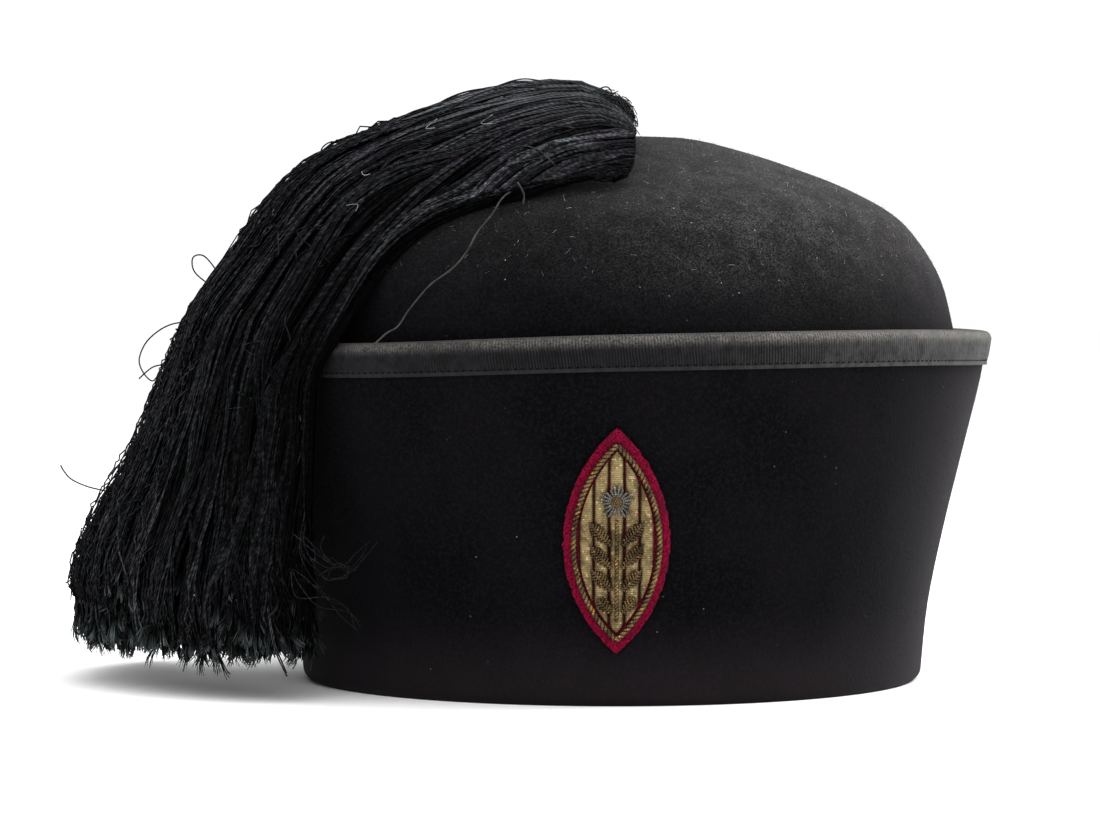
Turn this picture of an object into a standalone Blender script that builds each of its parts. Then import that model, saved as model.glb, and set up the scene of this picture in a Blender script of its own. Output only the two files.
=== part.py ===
# Felt fez with a deep turned-up cuff, a ribbon-bound edge, a thread tassel and a wire-embroidered badge.
# Metres, +Z up. The origin lies on the table at the middle of the head opening, and the badge faces -Y.

import math
from collections import namedtuple

import bmesh
import bpy
from mathutils import Vector

MM = 0.001

# Felt cap: one sheet that runs over the crown, folds at the bottom and comes back up as the cuff
FELT_THICKNESS = 2.0 * MM
CROWN_HEIGHT = 148.6 * MM
BROW_HALF_WIDTH = 93.5 * MM
FOLD_HALF_WIDTH = 82.0 * MM
FOLD_INNER_RADIUS = 0.9 * MM
FOLD_FLAT_WIDTH = 2.4 * MM
CUFF_HEIGHT = 93.9 * MM
CUFF_STAND_OFF = 9.1 * MM
CUFF_TOP_HALF_WIDTH = BROW_HALF_WIDTH + CUFF_STAND_OFF
CUFF_EDGE_ROUNDING = 0.6 * MM
HEAD_LENGTH_EXTRA = 20.5 * MM
WALL_BULGE = 1.4 * MM

# Ribbon folded over the cuff's top edge
RIBBON_THICKNESS = 0.8 * MM
RIBBON_OUTER_DEPTH = 7.8 * MM
RIBBON_INNER_DEPTH = 7.0 * MM
RIBBON_ROLL = 0.35 * MM
SEWN_GAP = 0.3 * MM

# Tassel: a skein of thread laid over the crown's tip and hung over the bound edge
TASSEL_THICKNESS = 14.5 * MM
TASSEL_SEAT = 0.75 * MM
TASSEL_HANG = 72.0 * MM
TASSEL_FLARE = 27.0 * MM
TASSEL_LOCKS = 9
TASSEL_TIP_LENGTH = 17.0 * MM
TASSEL_GROOVE = 0.22
TASSEL_EDGE_SHARE = 0.2
TASSEL_TIP_TAPER = 0.45
TASSEL_TOP_FACES = (0.5, 0.3)

# Badge: felt backing, laid ground, twisted border and a raised spray, each sewn on the one before
BADGE_HEIGHT = 58.0 * MM
BADGE_WIDTH = 27.0 * MM
BADGE_CENTRE_HEIGHT = 43.0 * MM
BADGE_MARGIN = 2.0 * MM
BACKING_THICKNESS = 1.2 * MM
GROUND_THICKNESS = 0.8 * MM
BORDER_RADIUS = 0.85 * MM
STEM_RADIUS = 0.6 * MM
STEM_LOW = -20.0 * MM
STEM_HIGH = 6.0 * MM
LEAF_PAIRS = 4
LEAF_LENGTH = 8.6 * MM
LEAF_WIDTH = 3.4 * MM
LEAF_THICKNESS = 0.5 * MM
LEAF_RISE = 0.7 * MM
LEAF_ANGLE = math.radians(42.0)
LEAF_ROOT_SHARE = 0.35
LEAF_TAIL_SHARE = 0.5
LEAF_STAND_OFF = 0.34 * MM
BLOOM_RADIUS = 4.6 * MM
BLOOM_THICKNESS = 1.2 * MM
BLOOM_PETALS = 5
BLOOM_NOTCH = 0.24
KNOT_RADIUS = 1.5 * MM
KNOT_HEIGHT = 1.4 * MM

# Fineness of the faceted forms
AROUND = 48
CURVE_STEPS = 2
WALL_SHARES = (0.25, 0.5, 0.75)
EDGE_SHARES = (1.0, 0.5, 0.12, 0.0)
FOLD_INNER_TURNS = (225, 270, 315)
SOLE_OUTER_TURN = -40
SOLE_INNER_TURN = -140
LOCK_FACES = 3
BACKING_FACES = (6, 12)
GROUND_FACES = (4, 10)
LEAF_FACES = (2, 6)
PETAL_FACES = 4
KNOT_FACES = (8, 5)
BORDER_POINTS = 18
STEM_POINTS = 9
NORMAL_STEP = 1.0 * MM
RING_SEARCHES = 24

# Crown from its tip to the brow, where it is widest: shares of half-width, height and extra length
CrownRow = namedtuple("CrownRow", "width height oval")
CROWN_ROWS = (
    CrownRow(width=0.000, height=1.000, oval=0.00),
    CrownRow(width=0.200, height=0.998, oval=0.11),
    CrownRow(width=0.373, height=0.974, oval=0.33),
    CrownRow(width=0.545, height=0.937, oval=0.60),
    CrownRow(width=0.697, height=0.900, oval=0.82),
    CrownRow(width=0.820, height=0.858, oval=0.94),
    CrownRow(width=0.897, height=0.807, oval=0.99),
    CrownRow(width=0.965, height=0.733, oval=1.00),
    CrownRow(width=1.000, height=0.646, oval=1.00),
)

# Cuff's outer face from the fold up: share of its height, and how far it has flared out by then
CuffRow = namedtuple("CuffRow", "height flare")
CUFF_ROWS = (
    CuffRow(height=0.00, flare=0.00),
    CuffRow(height=0.20, flare=0.11),
    CuffRow(height=0.43, flare=0.35),
    CuffRow(height=0.68, flare=0.66),
    CuffRow(height=0.88, flare=0.91),
    CuffRow(height=1.00, flare=1.00),
)

# How the cuff's top edge waves, as shares of its height, at even turns from the front through +X
EDGE_WAVE = (0.0064, 0.0138, -0.003, 0.0, 0.004, -0.004, -0.021, -0.024)

# Tassel where it lies on the hat: plan places of its front edge, middle and back edge, as shares of
# the bound edge's half-width and half-length, and its thickness share
LyingRow = namedtuple("LyingRow", "front_x front_y middle_x middle_y back_x back_y thick")
LYING_ROWS = (
    LyingRow(front_x=0.042, front_y=-0.655, middle_x=0.045, middle_y=-0.225,
             back_x=0.025, back_y=0.060, thick=0.30),
    LyingRow(front_x=0.020, front_y=-0.665, middle_x=0.005, middle_y=-0.230,
             back_x=-0.010, back_y=0.080, thick=0.80),
    LyingRow(front_x=-0.095, front_y=-0.690, middle_x=-0.060, middle_y=-0.235,
             back_x=-0.090, back_y=0.110, thick=1.00),
    LyingRow(front_x=-0.220, front_y=-0.700, middle_x=-0.240, middle_y=-0.245,
             back_x=-0.240, back_y=0.150, thick=1.08),
    LyingRow(front_x=-0.345, front_y=-0.692, middle_x=-0.430, middle_y=-0.250,
             back_x=-0.430, back_y=0.190, thick=1.04),
    LyingRow(front_x=-0.460, front_y=-0.675, middle_x=-0.610, middle_y=-0.260,
             back_x=-0.630, back_y=0.220, thick=1.00),
    LyingRow(front_x=-0.555, front_y=-0.672, middle_x=-0.760, middle_y=-0.265,
             back_x=-0.790, back_y=0.240, thick=0.96),
    LyingRow(front_x=-0.622, front_y=-0.700, middle_x=-0.870, middle_y=-0.270,
             back_x=-0.895, back_y=0.250, thick=0.92),
)

# Tassel where it hangs: share of its hanging length, turns from the front in degrees, how far it stands
# off the bound edge as shares of its flare, and its thickness share
HangingRow = namedtuple("HangingRow", "drop front_turn middle_turn back_turn "
                                      "front_off middle_off back_off thick")
HANGING_ROWS = (
    HangingRow(drop=0.00, front_turn=-42.3, middle_turn=-74, back_turn=-105,
               front_off=0.00, middle_off=0.00, back_off=0.00, thick=0.90),
    HangingRow(drop=0.13, front_turn=-46, middle_turn=-74, back_turn=-105,
               front_off=0.02, middle_off=0.09, back_off=0.10, thick=0.94),
    HangingRow(drop=0.33, front_turn=-46.4, middle_turn=-74, back_turn=-105,
               front_off=0.03, middle_off=0.22, back_off=0.28, thick=1.04),
    HangingRow(drop=0.56, front_turn=-46.8, middle_turn=-74, back_turn=-106,
               front_off=0.04, middle_off=0.38, back_off=0.50, thick=1.20),
    HangingRow(drop=0.80, front_turn=-46.5, middle_turn=-74, back_turn=-107,
               front_off=0.06, middle_off=0.56, back_off=0.76, thick=1.42),
    HangingRow(drop=1.00, front_turn=-46.3, middle_turn=-74, back_turn=-108,
               front_off=0.08, middle_off=0.70, back_off=0.95, thick=1.50),
)

# Length of each lock's free tip, from the front edge to the back, as shares of the longest
TIP_SHARES = (0.55, 0.95, 0.62, 0.80, 0.70, 0.90, 0.78, 0.60, 0.42)

# A point of a turned outline: half-width, height, what the oval adds lengthwise, and its share of the wave
# in the cuff's edge
Outline = namedtuple("Outline", "radius height extra wave")


def clear_scene():
    for item in list(bpy.data.objects):
        bpy.data.objects.remove(item, do_unlink=True)


def make_material(name, colour, roughness, metallic=0.0):
    material = bpy.data.materials.new(name)
    material.use_nodes = True
    shader = material.node_tree.nodes["Principled BSDF"]
    shader.inputs["Base Color"].default_value = (*colour, 1.0)
    shader.inputs["Roughness"].default_value = roughness
    shader.inputs["Metallic"].default_value = metallic
    return material


def add_object(name, bm, material, sharp_angle=40.0):
    bmesh.ops.remove_doubles(bm, verts=bm.verts, dist=0.01 * MM)
    bmesh.ops.recalc_face_normals(bm, faces=bm.faces)
    mesh = bpy.data.meshes.new(name)
    bm.to_mesh(mesh)
    bm.free()
    mesh.shade_smooth()
    mesh.set_sharp_from_angle(angle=math.radians(sharp_angle))
    mesh.materials.append(material)
    item = bpy.data.objects.new(name, mesh)
    bpy.context.scene.collection.objects.link(item)
    return item


def blend(start, end, share):
    """A tuple of values between two others of its kind."""
    return type(start)(*(a + (b - a) * share for a, b in zip(start, end)))


def through_four(before, start, end, after, share):
    """A value on the smooth curve that passes through start and end."""
    bend = 2 * before - 5 * start + 4 * end - after
    twist = 3 * (start - end) + after - before
    return start + 0.5 * share * ((end - before) + share * (bend + share * twist))


def smooth_rows(rows, steps):
    """Rows read from a smooth curve through the given ones, so many to a stretch."""
    ends = [rows[0], *rows, rows[-1]]
    smooth = []
    for four in zip(ends, ends[1:], ends[2:], ends[3:]):
        for step in range(steps):
            values = (through_four(*column, step / steps) for column in zip(*four))
            smooth.append(type(rows[0])(*values))
    smooth.append(rows[-1])
    return smooth


# Hat form

def edge_wave(turn):
    """Rise of the cuff's top edge at a turn from the front, through +X."""
    count = len(EDGE_WAVE)
    place = turn / (2 * math.pi) * count
    index = math.floor(place)
    four = [EDGE_WAVE[(index + step) % count] for step in (-1, 0, 1, 2)]
    return CUFF_HEIGHT * through_four(*four, place - index)


def oval_point(point, turn):
    """Where an outline's point lies at a turn round the oval hat."""
    return Vector((point.radius * math.sin(turn),
                   -(point.radius + point.extra) * math.cos(turn),
                   point.height + point.wave * edge_wave(turn)))


def offset_outline(points, distance):
    """The outline moved to its right, as it runs, by a distance."""
    moved = []
    for index, point in enumerate(points):
        before = points[max(index - 1, 0)]
        after = points[min(index + 1, len(points) - 1)]
        run = Vector((after.radius - before.radius, after.height - before.height)).normalized()
        if point.radius == 0:
            run = Vector((1, 0))
        moved.append(point._replace(radius=point.radius + run.y * distance,
                                    height=point.height - run.x * distance))
    return moved


def fold_height():
    return FOLD_INNER_RADIUS + FELT_THICKNESS


def dome_rows():
    """Outer side of the crown from its tip to the brow."""
    rows = [Outline(row.width * BROW_HALF_WIDTH, row.height * CROWN_HEIGHT, row.oval * HEAD_LENGTH_EXTRA, 0.0)
            for row in CROWN_ROWS]
    return smooth_rows(rows, CURVE_STEPS)


def wall_rows():
    """Outer side of the crown from the brow down inside the cuff to the fold."""
    brow = dome_rows()[-1]
    foot = Outline(FOLD_HALF_WIDTH - FOLD_INNER_RADIUS, fold_height(), HEAD_LENGTH_EXTRA, 0.0)
    rows = []
    for share in WALL_SHARES:
        point = blend(brow, foot, share)
        bulge = WALL_BULGE * math.sin(math.pi * share)
        rows.append(point._replace(radius=point.radius + bulge))
    return [*rows, foot]


def cuff_rows():
    """Outer side of the cuff from the fold to just under its top edge."""
    foot = FOLD_HALF_WIDTH + FOLD_INNER_RADIUS + FELT_THICKNESS
    top = CUFF_HEIGHT - CUFF_EDGE_ROUNDING
    rows = []
    for row in CUFF_ROWS:
        height = fold_height() + row.height * (top - fold_height())
        radius = foot + row.flare * (CUFF_TOP_HALF_WIDTH - foot)
        rows.append(Outline(radius, height, HEAD_LENGTH_EXTRA, row.height ** 2))
    return smooth_rows(rows, CURVE_STEPS)


def cuff_at(height):
    """The cuff's outer side at a height, before its edge waves."""
    rows = cuff_rows()
    for low, high in zip(rows, rows[1:]):
        if height <= high.height:
            break
    return blend(low, high, (height - low.height) / (high.height - low.height))


def cuff_edge(outer_depth, inner_depth):
    """Outline over the cuff's top edge, from outside to inside, reaching down by the two depths."""
    top = CUFF_HEIGHT - CUFF_EDGE_ROUNDING
    outside = [cuff_at(top - outer_depth * share) for share in EDGE_SHARES]
    inside = offset_outline(outside[::-1], FELT_THICKNESS)
    inside = [point._replace(height=top - (top - point.height) * inner_depth / outer_depth)
              for point in inside]
    crest = blend(outside[-1], inside[0], 0.5)._replace(height=CUFF_HEIGHT)
    return [*outside, crest, *inside]


def fold_arc(radius, turns):
    """Outline points round the fold's centre line, at turns in degrees from +X."""
    points = []
    for turn in turns:
        angle = math.radians(turn)
        points.append(Outline(FOLD_HALF_WIDTH + radius * math.cos(angle),
                              fold_height() + radius * math.sin(angle), HEAD_LENGTH_EXTRA, 0.0))
    return points


def spin_outline(points, closed):
    """Outline turned round the oval hat."""
    bm = bmesh.new()
    extra = bm.verts.layers.float.new("extra")
    wave = bm.verts.layers.float.new("wave")
    verts = []
    for point in points:
        vert = bm.verts.new((0.0, -point.radius, point.height))
        vert[extra] = point.extra
        vert[wave] = point.wave
        verts.append(vert)
    for low, high in zip(verts, verts[1:]):
        bm.edges.new((low, high))
    if closed:
        bm.edges.new((verts[-1], verts[0]))
    bmesh.ops.spin(bm, geom=bm.verts[:] + bm.edges[:], cent=(0, 0, 0), axis=(0, 0, 1),
                   angle=2 * math.pi, steps=AROUND, use_merge=True)
    for vert in bm.verts:
        turn = math.atan2(vert.co.x, -vert.co.y)
        radius = math.hypot(vert.co.x, vert.co.y)
        vert.co = oval_point(Outline(radius, vert.co.z, vert[extra], vert[wave]), turn)
    return bm


def build_felt_body():
    dome = dome_rows()
    wall = wall_rows()
    lining = offset_outline([*dome, *wall], FELT_THICKNESS)
    lining_side = [*lining[:len(dome):CURVE_STEPS], *lining[len(dome):]]
    cuff_outer = cuff_rows()
    cuff_inner = offset_outline(cuff_outer, -FELT_THICKNESS)[::CURVE_STEPS]
    crest = blend(cuff_outer[-1], cuff_inner[-1], 0.5)._replace(height=CUFF_HEIGHT)
    flat = FOLD_FLAT_WIDTH / 2
    soles = [Outline(FOLD_HALF_WIDTH + side * flat, 0.0, HEAD_LENGTH_EXTRA, 0.0) for side in (1, -1)]
    fold_radius = FOLD_INNER_RADIUS + FELT_THICKNESS
    outline = [*dome, *wall]
    outline += fold_arc(FOLD_INNER_RADIUS, FOLD_INNER_TURNS)
    outline += [*cuff_inner, crest]
    outline += cuff_outer[::-1]
    outline += fold_arc(fold_radius, (SOLE_OUTER_TURN,)) + soles + fold_arc(fold_radius, (SOLE_INNER_TURN,))
    outline += lining_side[::-1]
    felt = make_material("black_wool_felt", (0.009, 0.008, 0.010), 0.95)
    return add_object("felt_body", spin_outline(outline, closed=False), felt)


def ribbon_outline():
    """Both faces of the ribbon folded over the cuff's edge, thicker where it rolls over the top."""
    edge = cuff_edge(RIBBON_OUTER_DEPTH, RIBBON_INNER_DEPTH)
    last = len(edge) - 1
    near = offset_outline(edge, SEWN_GAP)
    far = []
    for index in range(last + 1):
        roll = RIBBON_ROLL * math.sin(math.pi * index / last)
        far.append(offset_outline(edge, SEWN_GAP + RIBBON_THICKNESS + roll)[index])
    return near, far


def build_edge_binding():
    near, far = ribbon_outline()
    ribbon = make_material("grosgrain_ribbon", (0.028, 0.027, 0.024), 0.75)
    return add_object("edge_binding", spin_outline([*far, *near[::-1]], closed=True), ribbon)


# Tassel

def bound_edge():
    """The outermost line of the bound edge, where threads bend over it."""
    far = ribbon_outline()[1]
    crest = max(far, key=lambda point: point.height)
    widest = max(far, key=lambda point: point.radius)
    return crest._replace(radius=widest.radius + TASSEL_SEAT, height=crest.height + TASSEL_SEAT)


def ring_reach(ring, x, y):
    """How far out a plan point lies, as a share of a ring of the hat."""
    return math.hypot(x / ring.radius, y / (ring.radius + ring.extra))


def drape_height(x, y):
    """Height at which a thread laid over the crown and the bound edge passes a plan point."""
    rim = bound_edge()
    turn = math.atan2(x / rim.radius, -y / (rim.radius + rim.extra))
    rim = rim._replace(height=rim.height + rim.wave * edge_wave(turn))
    dome = offset_outline(dome_rows(), -TASSEL_SEAT)
    slopes = [(point.height - rim.height) / (rim.radius - point.radius) for point in dome]
    leaves = slopes.index(max(slopes))
    rings = [*dome[:leaves + 1], rim]
    for inner, outer in zip(rings, rings[1:]):
        if ring_reach(outer, x, y) <= 1:
            break
    low, high = 0.0, 1.0
    for _ in range(RING_SEARCHES):
        middle = (low + high) / 2
        if ring_reach(blend(inner, outer, middle), x, y) > 1:
            low = middle
        else:
            high = middle
    return blend(inner, outer, high).height


def through_three(front, middle, back, across):
    """A value on the curve that runs from the tassel's front edge through its middle to its back edge."""
    return (front * (1 - across) * (1 - 2 * across)
            + middle * 4 * across * (1 - across)
            + back * across * (2 * across - 1))


def lying_point(row, across):
    rim = bound_edge()
    x = rim.radius * through_three(row.front_x, row.middle_x, row.back_x, across)
    y = (rim.radius + rim.extra) * through_three(row.front_y, row.middle_y, row.back_y, across)
    return Vector((x, y, drape_height(x, y)))


def hanging_point(row, across):
    rim = bound_edge()
    turn = math.radians(through_three(row.front_turn, row.middle_turn, row.back_turn, across))
    off = TASSEL_FLARE * through_three(row.front_off, row.middle_off, row.back_off, across)
    point = oval_point(rim, turn)
    outward = Vector((point.x / rim.radius ** 2, point.y / (rim.radius + rim.extra) ** 2, 0)).normalized()
    return point + outward * off - Vector((0, 0, row.drop * TASSEL_HANG))


def lock_thickness(across, row_share):
    """Thickness of the tassel: a lens across, with a groove between each two locks."""
    lens = max(TASSEL_EDGE_SHARE, math.sqrt(4 * across * (1 - across)))
    groove = abs(math.cos(math.pi * across * TASSEL_LOCKS))
    return TASSEL_THICKNESS * row_share * lens * (1 - TASSEL_GROOVE * groove)


def tip_ends(bm, along):
    """Each lock's end drawn out of the tassel's hem into a free tip of its own length."""
    across = bm.verts.layers.float["across"]
    bm.verts.ensure_lookup_table()
    hem = [face for face in bm.faces if all(vert[along] == 1.0 for vert in face.verts)]
    locks = {}
    for face in hem:
        middle = sum(vert[across] for vert in face.verts) / len(face.verts)
        locks.setdefault(int(middle * TASSEL_LOCKS), []).append(face)
    for lock, faces in locks.items():
        length = TASSEL_TIP_LENGTH * TIP_SHARES[lock % len(TIP_SHARES)]
        grown = bmesh.ops.extrude_face_region(bm, geom=faces)["geom"]
        bmesh.ops.delete(bm, geom=faces, context="FACES_ONLY")
        verts = [item for item in grown if isinstance(item, bmesh.types.BMVert)]
        centre = sum((vert.co for vert in verts), Vector()) / len(verts)
        for vert in verts:
            vert.co = centre.lerp(vert.co, TASSEL_TIP_TAPER) - Vector((0, 0, length))


def build_tassel():
    lying = smooth_rows(LYING_ROWS, CURVE_STEPS)[:-1]
    hanging = smooth_rows(HANGING_ROWS, CURVE_STEPS)
    stations = len(lying) + len(hanging)
    bm = bmesh.new()
    bmesh.ops.create_grid(bm, x_segments=TASSEL_LOCKS * LOCK_FACES, y_segments=stations - 1, size=0.5)
    across = bm.verts.layers.float.new("across")
    along = bm.verts.layers.float.new("along")
    rise = bm.verts.layers.float_vector.new("rise")
    thickness = {}
    for vert in bm.verts:
        share = vert.co.x + 0.5
        station = round((vert.co.y + 0.5) * (stations - 1))
        vert[across] = share
        vert[along] = station / (stations - 1)
        if station < len(lying):
            row = lying[station]
            vert.co = lying_point(row, share)
        else:
            row = hanging[station - len(lying)]
            vert.co = hanging_point(row, share)
        thickness[vert] = lock_thickness(share, row.thick)
    bm.normal_update()
    top_across, top_along = TASSEL_TOP_FACES
    middle = min(bm.verts, key=lambda vert: abs(vert[across] - top_across) + abs(vert[along] - top_along))
    side = math.copysign(1.0, middle.normal.z)
    for vert in bm.verts:
        vert[rise] = vert.normal * side * thickness[vert]
    grown = bmesh.ops.extrude_face_region(bm, geom=bm.faces[:])["geom"]
    for item in grown:
        if isinstance(item, bmesh.types.BMVert):
            item.co += item[rise]
    tip_ends(bm, along)
    return add_object("tassel", bm, make_material("black_thread", (0.008, 0.009, 0.010), 0.7))


# Badge, drawn flat as distances across and up from its middle and out from the cuff, then laid on the cuff

def cuff_skin(across, up):
    """Point on the cuff's outer side, by its distance round from the front and up from the badge's middle."""
    point = cuff_at(BADGE_CENTRE_HEIGHT + up)
    return oval_point(point, across / point.radius)


def on_cuff(across, up, out):
    skin = cuff_skin(across, up)
    aside = cuff_skin(across + NORMAL_STEP, up) - cuff_skin(across - NORMAL_STEP, up)
    above = cuff_skin(across, up + NORMAL_STEP) - cuff_skin(across, up - NORMAL_STEP)
    return skin + aside.cross(above).normalized() * out


def lay_on_cuff(bm):
    for vert in bm.verts:
        vert.co = on_cuff(vert.co.x, vert.co.y, vert.co.z)


def arc_radius(half_width, half_height):
    """Radius of the two arcs that make a pointed oval."""
    return (half_height ** 2 + half_width ** 2) / (2 * half_width)


def pointed_width(half_width, half_height, inset, up):
    """Half-width of a pointed oval, drawn in by an inset, at a height from its middle."""
    radius = arc_radius(half_width, half_height)
    return math.sqrt(max((radius - inset) ** 2 - up ** 2, 0)) - (radius - half_width)


def pointed_height(half_width, half_height, inset):
    radius = arc_radius(half_width, half_height)
    return math.sqrt((radius - inset) ** 2 - (radius - half_width) ** 2)


def pointed_pad(half_width, half_height, inset, low, thickness, rise, columns, rows):
    """Flat pad with a pointed oval outline, which rises in the middle."""
    bm = bmesh.new()
    bmesh.ops.create_grid(bm, x_segments=columns, y_segments=rows, size=0.5)
    reach = pointed_height(half_width, half_height, inset)
    lift = bm.verts.layers.float.new("lift")
    for vert in bm.verts:
        side = 2 * vert.co.x
        up = reach * 2 * vert.co.y
        width = max(pointed_width(half_width, half_height, inset, up), 0.0)
        vert[lift] = thickness + rise * (1 - side ** 2) * (1 - (up / reach) ** 2)
        vert.co = (side * width, up, low)
    grown = bmesh.ops.extrude_face_region(bm, geom=bm.faces[:])["geom"]
    for item in grown:
        if isinstance(item, bmesh.types.BMVert):
            item.co.z += item[lift]
    return bm


def cord_object(name, points, radius, cyclic, material):
    """Round cord through the points, as a beveled curve."""
    curve = bpy.data.curves.new(name, "CURVE")
    curve.dimensions = "3D"
    curve.bevel_depth = radius
    curve.bevel_resolution = 1
    curve.use_fill_caps = not cyclic
    spline = curve.splines.new("POLY")
    spline.points.add(len(points) - 1)
    for knot, point in zip(spline.points, points):
        knot.co = (*point, 1.0)
    spline.use_cyclic_u = cyclic
    curve.materials.append(material)
    item = bpy.data.objects.new(name, curve)
    bpy.context.scene.collection.objects.link(item)
    return item


def border_path(out):
    """Closed route of the border cord, round at the badge's two points."""
    half_width, half_height = BADGE_WIDTH / 2, BADGE_HEIGHT / 2
    inset = BADGE_MARGIN + BORDER_RADIUS
    reach = pointed_height(half_width, half_height, inset)
    side = []
    for index in range(BORDER_POINTS):
        up = reach * math.sin(math.pi * (index / (BORDER_POINTS - 1) - 0.5))
        width = pointed_width(half_width, half_height, inset, up)
        side.append((max(width, 0.0), up))
    side[0] = (0.0, -reach)
    side[-1] = (0.0, reach)
    loop = side + [(-across, up) for across, up in side[-2:0:-1]]
    return [on_cuff(across, up, out) for across, up in loop]


def build_badge():
    half_width, half_height = BADGE_WIDTH / 2, BADGE_HEIGHT / 2
    red_felt = make_material("red_felt", (0.36, 0.012, 0.045), 0.9)
    laid_gold = make_material("laid_gold_wire", (0.27, 0.21, 0.09), 0.5, 0.7)
    twisted_gold = make_material("twisted_gold_wire", (0.20, 0.13, 0.05), 0.45, 0.8)
    silver = make_material("silver_wire", (0.16, 0.18, 0.18), 0.5, 0.8)

    backing = pointed_pad(half_width, half_height, 0.0, SEWN_GAP, BACKING_THICKNESS, 0.0, *BACKING_FACES)
    lay_on_cuff(backing)
    add_object("badge_backing", backing, red_felt)

    ground_low = 2 * SEWN_GAP + BACKING_THICKNESS
    ground_inset = BADGE_MARGIN + 2 * BORDER_RADIUS + SEWN_GAP
    ground = pointed_pad(half_width, half_height, ground_inset, ground_low, GROUND_THICKNESS, 0.0,
                         *GROUND_FACES)
    lay_on_cuff(ground)
    add_object("badge_ground", ground, laid_gold)
    cord_object("badge_border", border_path(ground_low + BORDER_RADIUS), BORDER_RADIUS, True, twisted_gold)

    spray_low = ground_low + GROUND_THICKNESS + SEWN_GAP
    stem = []
    for index in range(STEM_POINTS):
        up = STEM_LOW + (STEM_HIGH - STEM_LOW) * index / (STEM_POINTS - 1)
        stem.append(on_cuff(0.0, up, spray_low + STEM_RADIUS))
    cord_object("badge_stem", stem, STEM_RADIUS, False, twisted_gold)
    build_leaves(spray_low, ground_inset, twisted_gold)
    build_bloom(spray_low, silver, twisted_gold)


def build_leaves(low, inset, material):
    """Pairs of leaves up the stem, each shorter where the badge is narrower."""
    half_width, half_height = BADGE_WIDTH / 2, BADGE_HEIGHT / 2
    widest = pointed_width(half_width, half_height, inset, 0.0)
    spacing = (STEM_HIGH - STEM_LOW) / (LEAF_PAIRS + LEAF_TAIL_SHARE)
    number = 0
    for pair in range(LEAF_PAIRS):
        root = STEM_LOW + spacing * (pair + LEAF_ROOT_SHARE)
        room = pointed_width(half_width, half_height, inset, root + spacing / 2) / widest
        length = LEAF_LENGTH * room
        for side in (-1, 1):
            number += 1
            leaf = pointed_pad(LEAF_WIDTH / 2, length / 2, 0.0, low, LEAF_THICKNESS, LEAF_RISE, *LEAF_FACES)
            turn = side * LEAF_ANGLE
            start = STEM_RADIUS + SEWN_GAP + LEAF_STAND_OFF
            for vert in leaf.verts:
                along = vert.co.y + length / 2
                across = side * start + along * math.sin(turn) + vert.co.x * math.cos(turn)
                up = root + along * math.cos(turn) - vert.co.x * math.sin(turn)
                vert.co = on_cuff(across, up, vert.co.z)
            add_object(f"badge_leaf_{number}", leaf, material)


def build_bloom(low, petal_material, knot_material):
    """Round bloom over the stem's end, with a knot in its middle."""
    centre_up = STEM_HIGH + SEWN_GAP + BLOOM_RADIUS
    bloom = bmesh.new()
    bmesh.ops.create_circle(bloom, cap_ends=True, cap_tris=True, radius=1.0,
                            segments=PETAL_FACES * BLOOM_PETALS)
    for vert in bloom.verts:
        turn = math.atan2(vert.co.y, vert.co.x) + math.pi / 2
        petal = 1 - BLOOM_NOTCH * abs(math.sin(BLOOM_PETALS * turn / 2))
        vert.co = (vert.co.x * BLOOM_RADIUS * petal, vert.co.y * BLOOM_RADIUS * petal + centre_up, low)
    grown = bmesh.ops.extrude_face_region(bloom, geom=bloom.faces[:])["geom"]
    for item in grown:
        if isinstance(item, bmesh.types.BMVert):
            item.co.z += BLOOM_THICKNESS
    lay_on_cuff(bloom)
    add_object("badge_bloom", bloom, petal_material)

    knot = bmesh.new()
    bmesh.ops.create_uvsphere(knot, u_segments=KNOT_FACES[0], v_segments=KNOT_FACES[1], radius=1.0)
    knot_middle = low + BLOOM_THICKNESS + SEWN_GAP + KNOT_HEIGHT / 2
    for vert in knot.verts:
        vert.co = on_cuff(vert.co.x * KNOT_RADIUS, vert.co.y * KNOT_RADIUS + centre_up,
                          vert.co.z * KNOT_HEIGHT / 2 + knot_middle)
    add_object("badge_bloom_centre", knot, knot_material)


clear_scene()
build_felt_body()
build_edge_binding()
build_tassel()
build_badge()
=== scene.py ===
# A black felt fez with a turned-up cuff, a ribbon-bound edge, a wire-embroidered badge and a thread tassel.
# It stands on its fold on a white table, badge to the front (-Y), tassel over the side at -X.
import math
from collections import namedtuple

import bmesh
import bpy
import numpy as np
from mathutils import Matrix, Vector, noise


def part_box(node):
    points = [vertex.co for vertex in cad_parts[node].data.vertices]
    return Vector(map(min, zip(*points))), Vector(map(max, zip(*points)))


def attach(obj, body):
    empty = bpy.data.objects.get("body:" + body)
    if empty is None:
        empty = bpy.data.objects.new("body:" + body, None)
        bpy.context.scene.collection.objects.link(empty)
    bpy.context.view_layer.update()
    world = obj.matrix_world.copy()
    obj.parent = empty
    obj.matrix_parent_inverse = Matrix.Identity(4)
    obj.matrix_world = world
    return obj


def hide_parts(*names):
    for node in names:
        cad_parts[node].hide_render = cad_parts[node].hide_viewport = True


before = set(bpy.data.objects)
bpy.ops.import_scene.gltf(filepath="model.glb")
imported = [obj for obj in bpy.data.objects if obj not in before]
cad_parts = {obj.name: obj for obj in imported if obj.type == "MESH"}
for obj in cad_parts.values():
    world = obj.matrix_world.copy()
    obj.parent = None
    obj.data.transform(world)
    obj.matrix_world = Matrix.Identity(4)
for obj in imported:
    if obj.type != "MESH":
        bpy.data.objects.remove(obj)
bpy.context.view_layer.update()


# The felt cap
# One sheet of black wool felt, blocked over a form into a domed crown. Its lower half is turned up outside
# as a deep flaring cuff, so the hat stands on a rounded fold. The nap is short, and dust lies on the crown.

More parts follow.
